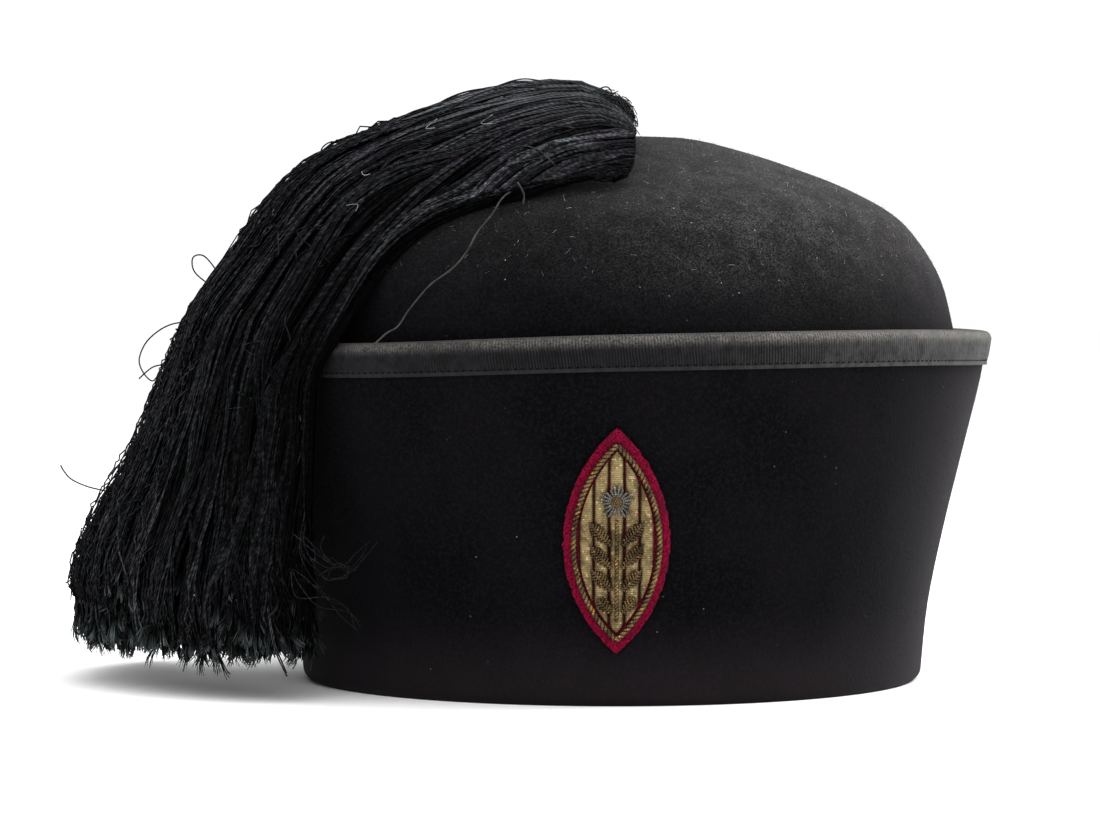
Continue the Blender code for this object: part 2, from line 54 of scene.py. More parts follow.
MM = 0.001
FELT_THICKNESS = 2.0 * MM
BROW_HALF_WIDTH = 93.5 * MM
FOLD_HALF_WIDTH = 82.0 * MM
FOLD_INNER_RADIUS = 0.9 * MM
FOLD_FLAT_WIDTH = 2.4 * MM
CUFF_HEIGHT = 93.9 * MM
CUFF_EDGE_ROUNDING = 0.6 * MM
WALL_BULGE = 1.4 * MM
DENT_DEPTH = 0.55 * MM
DENT_SIZE = 38.0 * MM
DENTS_START = 100 * MM
DENTS_FADE = 20 * MM
FELT_AROUND = 208
WEDGES = 16
CURVE_STEPS = 4
FOLD_INNER_TURNS = (210, 240, 270, 300, 330)
SOLE_OUTER_TURNS = (-15, -30, -45, -58)
SOLE_INNER_TURNS = (-122, -135, -150, -165)

cap_low, cap_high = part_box("felt_body")
CROWN_HEIGHT = cap_high.z - 0.1 * MM
CUFF_TOP_HALF_WIDTH = cap_high.x
LENGTH_EXTRA = -cap_low.y - cap_high.x

CrownRow = namedtuple("CrownRow", "width height oval")
CROWN_ROWS = (
    CrownRow(width=0.000, height=1.000, oval=0.00),
    CrownRow(width=0.200, height=0.998, oval=0.11),
    CrownRow(width=0.373, height=0.974, oval=0.33),
    CrownRow(width=0.545, height=0.937, oval=0.60),
    CrownRow(width=0.697, height=0.900, oval=0.82),
    CrownRow(width=0.820, height=0.858, oval=0.94),
    CrownRow(width=0.897, height=0.807, oval=0.99),
    CrownRow(width=0.965, height=0.733, oval=1.00),
    CrownRow(width=1.000, height=0.646, oval=1.00),
)
CuffRow = namedtuple("CuffRow", "height flare")
CUFF_ROWS = (
    CuffRow(height=0.00, flare=0.00),
    CuffRow(height=0.20, flare=0.11),
    CuffRow(height=0.43, flare=0.35),
    CuffRow(height=0.68, flare=0.66),
    CuffRow(height=0.88, flare=0.91),
    CuffRow(height=1.00, flare=1.00),
)
EDGE_WAVE = (0.0064, 0.0138, -0.003, 0.0, 0.004, -0.004, -0.021, -0.024)

# A point of a turned outline: half-width, height, what the oval adds lengthwise, its share of the edge's
# wave, and its place across the strip that it belongs to
Outline = namedtuple("Outline", "radius height extra wave strip", defaults=(0.0,))


def blend(start, end, share):
    """A row of values between two others of its kind."""
    return type(start)(*(a + (b - a) * share for a, b in zip(start, end)))


def through_four(before, start, end, after, share):
    """A value on the smooth curve that passes through start and end."""
    bend = 2 * before - 5 * start + 4 * end - after
    twist = 3 * (start - end) + after - before
    return start + 0.5 * share * ((end - before) + share * (bend + share * twist))


def smooth_rows(rows, steps):
    """Rows read from a smooth curve through the given ones, so many to a stretch."""
    ends = [rows[0], *rows, rows[-1]]
    smooth = []
    for four in zip(ends, ends[1:], ends[2:], ends[3:]):
        for step in range(steps):
            smooth.append(type(rows[0])(*(through_four(*column, step / steps) for column in zip(*four))))
    smooth.append(rows[-1])
    return smooth


def edge_wave(turn):
    """Rise of the cuff's top edge at a turn from the front, through +X."""
    count = len(EDGE_WAVE)
    place = turn / (2 * math.pi) * count
    index = math.floor(place)
    four = [EDGE_WAVE[(index + step) % count] for step in (-1, 0, 1, 2)]
    return CUFF_HEIGHT * through_four(*four, place - index)


def oval_point(point, turn):
    """Where an outline's point lies at a turn round the oval hat."""
    return Vector((point.radius * math.sin(turn),
                   -(point.radius + point.extra) * math.cos(turn),
                   point.height + point.wave * edge_wave(turn)))


def offset_outline(points, distance):
    """The outline moved to its right, as it runs, by a distance."""
    moved = []
    for index, point in enumerate(points):
        before = points[max(index - 1, 0)]
        after = points[min(index + 1, len(points) - 1)]
        run = Vector((after.radius - before.radius, after.height - before.height)).normalized()
        if point.radius == 0:
            run = Vector((1, 0))
        moved.append(point._replace(radius=point.radius + run.y * distance,
                                    height=point.height - run.x * distance))
    return moved


def fold_arc(radius, turns):
    """Outline points round the fold's centre line, at turns in degrees from +X."""
    height = FOLD_INNER_RADIUS + FELT_THICKNESS
    angles = [math.radians(turn) for turn in turns]
    return [Outline(FOLD_HALF_WIDTH + radius * math.cos(angle), height + radius * math.sin(angle),
                    LENGTH_EXTRA, 0.0) for angle in angles]


def crown_outline():
    """Outer side of the crown, from its tip to the brow and down inside the cuff to the fold."""
    rows = [Outline(row.width * BROW_HALF_WIDTH, row.height * CROWN_HEIGHT, row.oval * LENGTH_EXTRA, 0.0)
            for row in CROWN_ROWS]
    dome = smooth_rows(rows, CURVE_STEPS)
    foot = fold_arc(FOLD_INNER_RADIUS, (180,))[0]
    wall = []
    for step in range(1, 2 * CURVE_STEPS):
        share = step / (2 * CURVE_STEPS)
        point = blend(dome[-1], foot, share)
        wall.append(point._replace(radius=point.radius + WALL_BULGE * math.sin(math.pi * share)))
    return dome, [*wall, foot]


def cuff_outline():
    """Outer side of the cuff, from the fold to just under its top edge."""
    foot = fold_arc(FOLD_INNER_RADIUS + FELT_THICKNESS, (0,))[0]
    top = CUFF_HEIGHT - CUFF_EDGE_ROUNDING
    rows = []
    for row in CUFF_ROWS:
        height = foot.height + row.height * (top - foot.height)
        radius = foot.radius + row.flare * (CUFF_TOP_HALF_WIDTH - foot.radius)
        rows.append(Outline(radius, height, LENGTH_EXTRA, row.height ** 2))
    return smooth_rows(rows, CURVE_STEPS)


def only_verts(items):
    return [item for item in items if isinstance(item, bmesh.types.BMVert)]


def spin_outline(points, closed, around, relief=None):
    """Outline turned round the oval hat in wedges. Its UVs run once round the hat, and across the strip."""
    bm = bmesh.new()
    layers = [bm.verts.layers.float.new(name) for name in ("extra", "wave", "strip")]
    verts = []
    for point in points:
        vert = bm.verts.new((0.0, -point.radius, point.height))
        for layer, value in zip(layers, point[2:]):
            vert[layer] = value
        verts.append(vert)
    for low, high in zip(verts, verts[1:]):
        bm.edges.new((low, high))
    if closed:
        bm.edges.new((verts[-1], verts[0]))
    bmesh.ops.spin(bm, geom=bm.verts[:] + bm.edges[:], cent=(0, 0, 0), axis=(0, 0, 1),
                   angle=2 * math.pi / WEDGES, steps=around // WEDGES)
    wedge = bm.verts[:] + bm.edges[:] + bm.faces[:]
    for number in range(1, WEDGES):
        copy = bmesh.ops.duplicate(bm, geom=wedge)["geom"]
        bmesh.ops.rotate(bm, verts=only_verts(copy), cent=(0, 0, 0),
                         matrix=Matrix.Rotation(2 * math.pi * number / WEDGES, 3, "Z"))
    bmesh.ops.remove_doubles(bm, verts=bm.verts, dist=0.001 * MM)
    bmesh.ops.recalc_face_normals(bm, faces=bm.faces)
    bm.normal_update()
    uv = bm.loops.layers.uv.new("strip")
    for face in bm.faces:
        turns = [math.atan2(loop.vert.co.x, -loop.vert.co.y) / (2 * math.pi) for loop in face.loops]
        for loop, turn in zip(face.loops, turns):
            if turn < 0 and max(turns) > 0.25:
                turn += 1
            loop[uv].uv = (turn, loop.vert[layers[2]])
    for vert in bm.verts:
        turn = math.atan2(vert.co.x, -vert.co.y)
        if relief:
            vert.co += vert.normal * relief(turn, vert[layers[2]])
        point = Outline(math.hypot(vert.co.x, vert.co.y), vert.co.z, *(vert[layer] for layer in layers))
        vert.co = oval_point(point, turn)
    return bm


def mesh_of(name, bm):
    """A mesh made from a bmesh, which is freed."""
    mesh = bpy.data.meshes.new(name)
    bm.to_mesh(mesh)
    bm.free()
    return mesh


def add_object(name, data):
    """A new object in the scene."""
    added = bpy.data.objects.new(name, data)
    bpy.context.scene.collection.objects.link(added)
    return added


def finish_piece(name, data, material, slot, *nodes):
    """Makes a bmesh or a mesh into a named piece that rides on the hat and stands for its nodes."""
    mesh = mesh_of(name, data) if isinstance(data, bmesh.types.BMesh) else data
    mesh.shade_smooth()
    mesh.materials.clear()
    mesh.materials.append(material)
    piece = add_object(name, mesh)
    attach(piece, "root")
    if nodes:
        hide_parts(*nodes)
    return piece


NOISE = "ShaderNodeTexNoise"
RANGE = "ShaderNodeMapRange"
MIX = "ShaderNodeMix"
MATH = "ShaderNodeMath"
SPLIT = "ShaderNodeSeparateXYZ"
ATTRIBUTE = "ShaderNodeAttribute"
BUMP = "ShaderNodeBump"
COORDINATES = "ShaderNodeTexCoord"
SMOOTH = {"interpolation_type": "SMOOTHSTEP"}
COLOUR = {"data_type": "RGBA"}
TIMES = {"operation": "MULTIPLY"}
TIMES_PLUS = {"operation": "MULTIPLY_ADD"}


def linear(code):
    """An sRGB hex colour as linear red, green, blue and alpha."""
    parts = [int(code[place:place + 2], 16) / 255 for place in (1, 3, 5)]
    return (*(part / 12.92 if part <= 0.04045 else ((part + 0.055) / 1.055) ** 2.4 for part in parts), 1.0)


def set_inputs(tree, node, inputs):
    """Sets a node's inputs to values and hex colours, or links them from sockets and from other nodes."""
    for name, value in inputs.items():
        if isinstance(value, bpy.types.Node):
            value = next(socket for socket in value.outputs if socket.enabled)
        if isinstance(value, bpy.types.NodeSocket):
            tree.links.new(value, node.inputs[name])
        else:
            node.inputs[name].default_value = linear(value) if isinstance(value, str) else value


def add_node(tree, kind, inputs=None, **settings):
    """Adds a shader or geometry node with its settings, values and links."""
    node = tree.nodes.new(kind)
    for name, value in settings.items():
        setattr(node, name, value)
    set_inputs(tree, node, inputs or {})
    return node


def new_material(name):
    """A material, its node tree and its one Principled shader."""
    material = bpy.data.materials.new(name)
    material.use_nodes = True
    return material, material.node_tree, material.node_tree.nodes["Principled BSDF"]


def black_wool_felt():
    """Pressed wool felt: matt, near black with a plum cast, a nap that catches light, and a dusted top.
    Painted light makes the top paler towards +X, and the felt paler towards the fold.
    """
    material, tree, shader = new_material("black_wool_felt")
    place = add_node(tree, COORDINATES).outputs["Object"]
    spot = add_node(tree, SPLIT, {0: place})
    normal = add_node(tree, SPLIT, {0: add_node(tree, "ShaderNodeNewGeometry").outputs["Normal"]})
    fibres = add_node(tree, NOISE,
                      {"Vector": place, "Scale": 1 / (0.9 * MM), "Detail": 6.0, "Roughness": 0.7})
    patches = add_node(tree, NOISE, {"Vector": place, "Scale": 1 / (24 * MM), "Detail": 3.0})
    patchy = add_node(tree, RANGE, {0: patches, 1: 0.35, 2: 0.68}, **SMOOTH)
    black = add_node(tree, MIX, {0: patchy, 6: "#020203", 7: "#060507"}, **COLOUR)
    lit = add_node(tree, RANGE, {0: fibres, 1: 0.42, 2: 0.72, 4: 0.6}, **SMOOTH)
    napped = add_node(tree, MIX, {0: lit, 6: black, 7: "#131115"}, **COLOUR)
    # Painted light: the felt is paler towards the fold, standing in for light thrown up off the table.
    fold = add_node(tree, RANGE, {0: spot.outputs["Z"], 1: 26 * MM, 2: 2 * MM, 4: 0.16}, **SMOOTH)
    lightened = add_node(tree, MIX, {0: fold, 6: napped, 7: "#3a3336"}, **COLOUR)

    upward = add_node(tree, RANGE, {0: normal.outputs["Z"], 1: 0.0, 2: 0.85, 3: 0.36}, **SMOOTH)
    raised = add_node(tree, RANGE, {0: spot.outputs["Z"], 1: 80 * MM, 2: 132 * MM}, **SMOOTH)
    # Painted light: the dusted top is paler towards +X, standing in for light from that side.
    side_light = add_node(tree, RANGE, {0: spot.outputs["X"], 1: -30 * MM, 2: 50 * MM, 3: 0.25}, **SMOOTH)
    clouds = add_node(tree, NOISE,
                      {"Vector": place, "Scale": 1 / (8 * MM), "Detail": 6.0, "Roughness": 0.75})
    clouded = add_node(tree, RANGE, {0: clouds, 1: 0.38, 2: 0.64, 3: 0.44}, **SMOOTH)
    powder = add_node(tree, NOISE,
                      {"Vector": place, "Scale": 1 / (0.5 * MM), "Detail": 3.0, "Roughness": 0.9})
    powdered = add_node(tree, RANGE, {0: powder, 1: 0.42, 2: 0.62, 3: 0.05}, **SMOOTH)
    dust_and_side_light = 1.0
    for factor in (upward, raised, side_light, clouded, powdered):
        dust_and_side_light = add_node(tree, MATH, {0: dust_and_side_light, 1: factor}, **TIMES)
    dusted_and_side_lit = add_node(tree, MIX, {0: dust_and_side_light, 6: lightened, 7: "#464544"}, **COLOUR)

    cells = add_node(tree, "ShaderNodeTexVoronoi", {"Vector": place, "Scale": 1 / (1.5 * MM)})
    rare = add_node(tree, SPLIT, {0: cells.outputs["Color"]}).outputs["X"]
    likely = add_node(tree, MATH, {0: dust_and_side_light, 1: 0.3, 2: rare}, **TIMES_PLUS)
    chosen = add_node(tree, RANGE, {0: likely, 1: 0.98, 2: 1.03}, **SMOOTH)
    near = add_node(tree, RANGE, {0: cells.outputs["Distance"], 1: 0.15, 2: 0.08}, **SMOOTH)
    speck = add_node(tree, MATH, {0: near, 1: chosen}, **TIMES)
    colour = add_node(tree, MIX, {0: speck, 6: dusted_and_side_lit, 7: "#a19f9c"}, **COLOUR)
    relief = add_node(tree, BUMP, {"Height": fibres, "Strength": 0.55, "Distance": 0.35 * MM})
    set_inputs(tree, shader, {"Base Color": colour, "Normal": relief, "Roughness": 0.95,
                              "Specular IOR Level": 0.04,
                              "Sheen Weight": 0.10, "Sheen Roughness": 0.30, "Sheen Tint": "#c4bec6"})
    return material


def build_felt_cap():
    dome, wall = crown_outline()
    outer = cuff_outline()
    inner = offset_outline(outer, -FELT_THICKNESS)
    crest = blend(outer[-1], inner[-1], 0.5)._replace(height=CUFF_HEIGHT)
    flat = FOLD_FLAT_WIDTH / 2
    soles = [Outline(FOLD_HALF_WIDTH + side * flat, 0.0, LENGTH_EXTRA, 0.0) for side in (1, -1)]
    fold_radius = FOLD_INNER_RADIUS + FELT_THICKNESS
    outline = [*dome, *wall, *fold_arc(FOLD_INNER_RADIUS, FOLD_INNER_TURNS), *inner, crest, *outer[::-1]]
    outline += fold_arc(fold_radius, SOLE_OUTER_TURNS) + soles + fold_arc(fold_radius, SOLE_INNER_TURNS)
    outline += offset_outline([*dome, *wall], FELT_THICKNESS)[::-1]
    bm = spin_outline(outline, False, FELT_AROUND)
    for vert in bm.verts:
        free = min(max((vert.co.z - DENTS_START) / DENTS_FADE, 0.0), 1.0)
        hand = noise.noise(vert.co / DENT_SIZE) + 0.4 * noise.noise(vert.co / DENT_SIZE * 2.3)
        vert.co.z += DENT_DEPTH * free * (hand - 0.5)
    return bm


FELT = black_wool_felt()
cap = finish_piece("felt_cap", build_felt_cap(), FELT, "black_felt", "felt_body")


# Nap and lint on the felt
# The nap is the felt's own wool ends, under a millimetre, which soften every outline. The lint is pale
# hairs caught in it on top of the crown.

def take_mesh(holder):
    """The mesh that an object shows once its modifiers or its bevel have worked. The object goes."""
    mesh = bpy.data.meshes.new_from_object(holder.evaluated_get(bpy.context.evaluated_depsgraph_get()))
    bpy.data.objects.remove(holder)
    return mesh


def scatter(name, ground, shape, per_square_metre, seed, lean, small, large, above=-1.0, facing_up=-2.0):
    """Copies of a small shape set over a ground's faces by geometry nodes, then made one real mesh."""
    tree = bpy.data.node_groups.new(name, "GeometryNodeTree")
    tree.interface.new_socket("Geometry", in_out="OUTPUT", socket_type="NodeSocketGeometry")
    ground_info = add_node(tree, "GeometryNodeObjectInfo", {"Object": ground})
    shape_info = add_node(tree, "GeometryNodeObjectInfo", {"Object": shape, "As Instance": True})
    height = add_node(tree, SPLIT, {0: add_node(tree, "GeometryNodeInputPosition").outputs[0]})
    slope = add_node(tree, SPLIT, {0: add_node(tree, "GeometryNodeInputNormal").outputs[0]})
    high = add_node(tree, "FunctionNodeCompare",
                    {0: height.outputs["Z"], 1: above}, operation="GREATER_THAN")
    turned = add_node(tree, "FunctionNodeCompare",
                      {0: slope.outputs["Z"], 1: facing_up}, operation="GREATER_THAN")
    both = add_node(tree, "FunctionNodeBooleanMath",
                    {0: high.outputs[0], 1: turned.outputs[0]}, operation="AND")
    points = add_node(tree, "GeometryNodeDistributePointsOnFaces",
                      {"Mesh": ground_info.outputs["Geometry"], "Selection": both.outputs[0],
                       "Density": per_square_metre, "Seed": seed})
    tilt = add_node(tree, "FunctionNodeRandomValue",
                    {0: (-lean, -lean, -math.pi), 1: (lean, lean, math.pi), "Seed": seed + 1},
                    data_type="FLOAT_VECTOR")
    turn = add_node(tree, "FunctionNodeRotateRotation",
                    {0: points.outputs["Rotation"], 1: tilt.outputs[0]}, rotation_space="LOCAL")
    size = add_node(tree, "FunctionNodeRandomValue",
                    {2: small, 3: large, "Seed": seed + 2}, data_type="FLOAT")
    copies = add_node(tree, "GeometryNodeInstanceOnPoints",
                      {"Points": points.outputs["Points"], "Instance": shape_info.outputs["Geometry"],
                       "Rotation": turn.outputs[0], "Scale": size.outputs[1]})
    real = add_node(tree, "GeometryNodeRealizeInstances", {0: copies.outputs[0]})
    add_node(tree, "NodeGroupOutput", {0: real.outputs[0]})
    holder = add_object(name + "_holder", bpy.data.meshes.new(name + "_holder"))
    holder.modifiers.new("scatter", "NODES").node_group = tree
    return take_mesh(holder)


def hair_shape(name, length, width, bow, segments):
    """A flat curved hair that stands on its root, one strip of faces."""
    bm = bmesh.new()
    bmesh.ops.create_grid(bm, x_segments=1, y_segments=segments, size=0.5)
    for vert in bm.verts:
        share = vert.co.y + 0.5
        vert.co = (vert.co.x * width * (1 - 0.5 * share), bow * share * share, share * length)
    return add_object(name, mesh_of(name, bm))


nap_hair = hair_shape("nap_hair", length=0.55 * MM, width=0.05 * MM, bow=0.2 * MM, segments=1)
lint_hair = hair_shape("lint_hair", length=2.2 * MM, width=0.13 * MM, bow=1.1 * MM, segments=4)
nap = scatter("nap", cap, nap_hair, 90000, seed=3, lean=0.9, small=0.5, large=1.2, above=3 * MM)
finish_piece("felt_nap", nap, FELT, "black_felt")


def dull_fibre(name, dark, light):
    """Loose wool and cotton fibres, dull, some whiter than others."""
    material, tree, shader = new_material(name)
    place = add_node(tree, COORDINATES).outputs["Object"]
    patches = add_node(tree, NOISE, {"Vector": place, "Scale": 1 / (4 * MM)})
    clean = add_node(tree, RANGE, {0: patches, 1: 0.4, 2: 0.6})
    colour = add_node(tree, MIX, {0: clean, 6: dark, 7: light}, **COLOUR)
    set_inputs(tree, shader, {"Base Color": colour, "Roughness": 0.9, "Specular IOR Level": 0.1,
                              "Sheen Weight": 0.1, "Sheen Roughness": 0.5})
    return material


LINT = dull_fibre("pale_lint", "#525250", "#989895")
lint = scatter("lint", cap, lint_hair, 74000, seed=11, lean=1.5, small=0.12, large=0.7, above=110 * MM,
               facing_up=0.35)
finish_piece("felt_lint", lint, LINT, "black_felt")
for hair in (nap_hair, lint_hair):
    bpy.data.objects.remove(hair)


# The bound edge
# Dark grosgrain ribbon folded over the cuff's raw edge and stitched through. Its ribs run across its width.
# The fold is rubbed paler, and the lower selvedge is a smooth flat line with a row of small stitches on it.
# Shade is painted into the grooves between the ribs, and light onto the cloth and the fold towards +X.

RIBBON_THICKNESS = 0.8 * MM
RIBBON_OUTER_DEPTH = 7.1 * MM
RIBBON_INNER_DEPTH = 7.0 * MM
RIBBON_ROLL = 0.35 * MM
SEWN_GAP = 0.3 * MM
RIBS = 816
RIB_DEPTH = 0.06 * MM
RIB_STEPS = 3
RIB_LEAN = 0.9
RUBBED_LINE = 7.3 * MM
SELVEDGE = 0.8 * MM
SIDE_SHARES = (1.0, 0.96, 0.90, 0.84, 0.78, 0.60, 0.42, 0.25, 0.12, 0.0)
SELVEDGE_PINCH = (0.0, 0.0, 0.1, 0.35, 0.1)
ROLL_SHARES = (0.06, 0.22, 0.5, 0.78, 0.94)
STITCH_HEIGHT = 1.25 * MM
STITCH_PITCH = 2.2 * MM
STITCH_LENGTH = 1.0 * MM
STITCH_RADIUS = 0.18 * MM

cuff_side = cuff_outline()


def cuff_at(height):
    """The cuff's outer side at a height, before its edge waves."""
    for low, high in zip(cuff_side, cuff_side[1:]):
        if height <= high.height:
            break
    return blend(low, high, (height - low.height) / (high.height - low.height))


def ribbon_outline():
    """Both faces of the ribbon over the cuff's edge, from its outer lower edge to its inner one."""
    top = CUFF_HEIGHT - CUFF_EDGE_ROUNDING
    outside = [cuff_at(top - RIBBON_OUTER_DEPTH * share) for share in SIDE_SHARES]
    inside = offset_outline([outside[0], outside[5], outside[-1]][::-1], FELT_THICKNESS)
    inside = [point._replace(height=top - (top - point.height) * RIBBON_INNER_DEPTH / RIBBON_OUTER_DEPTH,
                             wave=outside[-1].wave) for point in inside]
    roll = [blend(outside[-1], inside[0], share)._replace(
            height=top + CUFF_EDGE_ROUNDING * math.sqrt(math.sin(math.pi * share))) for share in ROLL_SHARES]
    edge = [*outside, *roll, *inside]
    strips = [0.0]
    for before, after in zip(edge, edge[1:]):
        strips.append(strips[-1] + math.dist(before[:2], after[:2]))
    near = offset_outline([outside[0], outside[5], outside[-1], roll[2], *inside], SEWN_GAP)
    far = []
    for index, strip in enumerate(strips):
        cover = RIBBON_THICKNESS + RIBBON_ROLL * math.sin(math.pi * strip / strips[-1])
        if index < len(SELVEDGE_PINCH):
            cover -= SELVEDGE_PINCH[index] * RIBBON_THICKNESS
        far.append(offset_outline(edge, SEWN_GAP + cover)[index]._replace(strip=strip))
    return near, far


def grosgrain():
    """Rayon grosgrain: fine ribs with painted shade in their grooves, a paler worn fold and a smooth
    selvedge.
    Painted light makes the cloth and the fold paler towards +X.
    """
    material, tree, shader = new_material("worn_grosgrain")
    coordinates = add_node(tree, COORDINATES)
    place = coordinates.outputs["Object"]
    spot = add_node(tree, SPLIT, {0: place})
    strip = add_node(tree, SPLIT, {0: coordinates.outputs["UV"]})
    across = strip.outputs["Y"]
    drift = add_node(tree, NOISE, {"Vector": place, "Scale": 1 / (9 * MM)})
    wandering = add_node(tree, MATH, {0: drift, 1: 9.0}, **TIMES)
    lean = add_node(tree, MATH, {0: across, 1: RIB_LEAN / MM, 2: wandering}, **TIMES_PLUS)
    turns = add_node(tree, MATH, {0: strip.outputs["X"], 1: 2 * math.pi * RIBS, 2: lean}, **TIMES_PLUS)
    rib = add_node(tree, MATH, {0: turns}, operation="COSINE")
    # Painted shade: the grooves between the ribs are darkened.
    groove = add_node(tree, RANGE, {0: rib, 1: 0.7, 2: -0.6}, **SMOOTH)

    wear = add_node(tree, NOISE, {"Vector": place, "Scale": 1 / (14 * MM), "Detail": 3.0, "Roughness": 0.6})
    shown = add_node(tree, RANGE, {0: wear, 1: 0.38, 2: 0.56, 3: 0.4}, **SMOOTH)
    lapped = add_node(tree, RANGE, {0: spot.outputs["X"], 1: -60 * MM, 2: -52 * MM, 3: 0.1}, **SMOOTH)
    # The painted groove shade grows fainter towards +X.
    shade_eased_rightward = add_node(tree, RANGE,
                         {0: spot.outputs["X"], 1: 20 * MM, 2: 85 * MM, 3: 1.0, 4: 0.55}, **SMOOTH)
    groove_shade = 1.0
    for factor in (groove, shown, lapped, shade_eased_rightward):
        groove_shade = add_node(tree, MATH, {0: groove_shade, 1: factor}, **TIMES)
    threads = add_node(tree, NOISE,
                       {"Vector": place, "Scale": 1 / (3 * MM), "Detail": 6.0, "Roughness": 0.75})
    uneven = add_node(tree, RANGE, {0: threads, 1: 0.36, 2: 0.66}, **SMOOTH)
    cloth = add_node(tree, MIX, {0: uneven, 6: "#0a090b", 7: "#18161a"}, **COLOUR)
    # Painted light: the cloth turns paler grey, in blotches, towards +X.
    cloth_side_light = add_node(tree, RANGE, {0: spot.outputs["X"], 1: 0 * MM, 2: 112 * MM, 4: 0.62}, **SMOOTH)
    blotched = add_node(tree, RANGE, {0: threads, 1: 0.34, 2: 0.58, 3: 0.3}, **SMOOTH)
    blotched_side_light = add_node(tree, MATH, {0: cloth_side_light, 1: blotched}, **TIMES)
    cast = add_node(tree, MIX, {0: blotched_side_light, 6: cloth, 7: "#494948"}, **COLOUR)
    ribbed = add_node(tree, MIX, {0: groove_shade, 6: cast, 7: "#040404"}, **COLOUR)
    plain = add_node(tree, RANGE, {0: across, 1: SELVEDGE + 0.3 * MM, 2: SELVEDGE}, **SMOOTH)
    edged = add_node(tree, MIX, {0: 0.08, 6: cast, 7: "#4c4a4a"}, **COLOUR)
    body = add_node(tree, MIX, {0: plain, 6: ribbed, 7: edged}, **COLOUR)

    ragged = add_node(tree, MATH, {0: threads, 1: 0.8 * MM, 2: across}, **TIMES_PLUS)
    rising = add_node(tree, RANGE, {0: ragged, 1: RUBBED_LINE - 2.2 * MM, 2: RUBBED_LINE + 0.4 * MM})
    below = add_node(tree, MATH, {0: rising, 1: 3.0}, operation="POWER")
    above = add_node(tree, RANGE, {0: ragged, 1: RUBBED_LINE + 1.1 * MM, 2: RUBBED_LINE + 0.5 * MM, 3: 0.4},
                     **SMOOTH)
    lightened = add_node(tree, RANGE, {0: wear, 1: 0.30, 2: 0.58, 3: 0.5}, **SMOOTH)
    flecks = add_node(tree, NOISE,
                      {"Vector": place, "Scale": 1 / (0.6 * MM), "Detail": 3.0, "Roughness": 0.7})
    worn = add_node(tree, RANGE, {0: flecks, 1: 0.36, 2: 0.58, 3: 0.28}, **SMOOTH)
    # Painted light: the pale fold grows paler towards +X.
    roll_side_light = add_node(tree, RANGE, {0: spot.outputs["X"], 1: -70 * MM, 2: 110 * MM, 3: 0.5, 4: 1.0}, **SMOOTH)
    pale = 1.0
    # Painted shade: the pale fold stays darker in the grooves.
    ridged = add_node(tree, RANGE, {0: rib, 1: 0.7, 2: -0.6, 3: 1.0, 4: 0.6}, **SMOOTH)
    for factor in (below, above, lightened, worn, roll_side_light, ridged):
        pale = add_node(tree, MATH, {0: pale, 1: factor}, **TIMES)
    colour = add_node(tree, MIX, {0: pale, 6: body, 7: "#6a6763"}, **COLOUR)
    weave = add_node(tree, NOISE, {"Vector": place, "Scale": 1 / (0.35 * MM), "Detail": 3.0})
    height = add_node(tree, MATH, {0: groove, 1: -0.8, 2: weave}, **TIMES_PLUS)
    relief = add_node(tree, BUMP, {"Height": height, "Strength": 0.5, "Distance": 0.12 * MM})
    set_inputs(tree, shader, {"Base Color": colour, "Normal": relief, "Roughness": 0.7,
                              "Specular IOR Level": 0.08,
                              "Sheen Weight": 0.06, "Sheen Roughness": 0.30})
    return material


def rib_relief(turn, strip):
    """How far a rib or a groove lies off the ribbon's face, in metres."""
    if strip < SELVEDGE:
        return 0.0
    return RIB_DEPTH * (math.cos(turn * RIBS + strip * RIB_LEAN / MM) - 1) / 2


ribbon_near, ribbon_far = ribbon_outline()


def build_stitches():
    """One round-ended stitch after another, just above the selvedge."""
    above = next(index for index, point in enumerate(ribbon_far) if point.strip > STITCH_HEIGHT)
    low, high = ribbon_far[above - 1], ribbon_far[above]
    point = blend(low, high, (STITCH_HEIGHT - low.strip) / (high.strip - low.strip))
    count = round(2 * math.pi * (CUFF_TOP_HALF_WIDTH + LENGTH_EXTRA / 2) / STITCH_PITCH)
    shape = Matrix.Diagonal((STITCH_LENGTH / 2, STITCH_RADIUS, STITCH_RADIUS * 1.3, 1))
    bm = bmesh.new()
    for index in range(count):
        turn = 2 * math.pi * index / count
        centre = oval_point(point, turn)
        ahead = (oval_point(point, turn + 0.01) - centre).normalized()
        side = Vector((0, 0, 1)).cross(ahead)
        place = Matrix((ahead, side, ahead.cross(side))).transposed().to_4x4()
        place.translation = centre
        bmesh.ops.create_icosphere(bm, subdivisions=1, radius=1.0, matrix=place @ shape)
    return bm


ribbon = spin_outline([*ribbon_far, *ribbon_near[::-1]], True, RIBS * RIB_STEPS, rib_relief)
finish_piece("ribbon_binding", ribbon, grosgrain(), "grosgrain_ribbon", "edge_binding")


def sewing_cotton():
    """Dull black cotton sewing thread with a faint nap."""
    material, tree, shader = new_material("sewing_cotton")
    place = add_node(tree, COORDINATES).outputs["Object"]
    nap = add_node(tree, NOISE, {"Vector": place, "Scale": 1 / (0.6 * MM), "Detail": 3.0})
    colour = add_node(tree, MIX, {0: nap, 6: "#020202", 7: "#0a0a0a"}, **COLOUR)
    set_inputs(tree, shader, {"Base Color": colour, "Roughness": 0.8, "Specular IOR Level": 0.03})
    return material


finish_piece("ribbon_stitches", build_stitches(), sewing_cotton(), "grosgrain_ribbon")


# The badge: crimson felt patch
# A pointed oval cut from thin crimson felt and sewn to the cuff. A narrow rim of it shows, with a ragged
# cut edge.

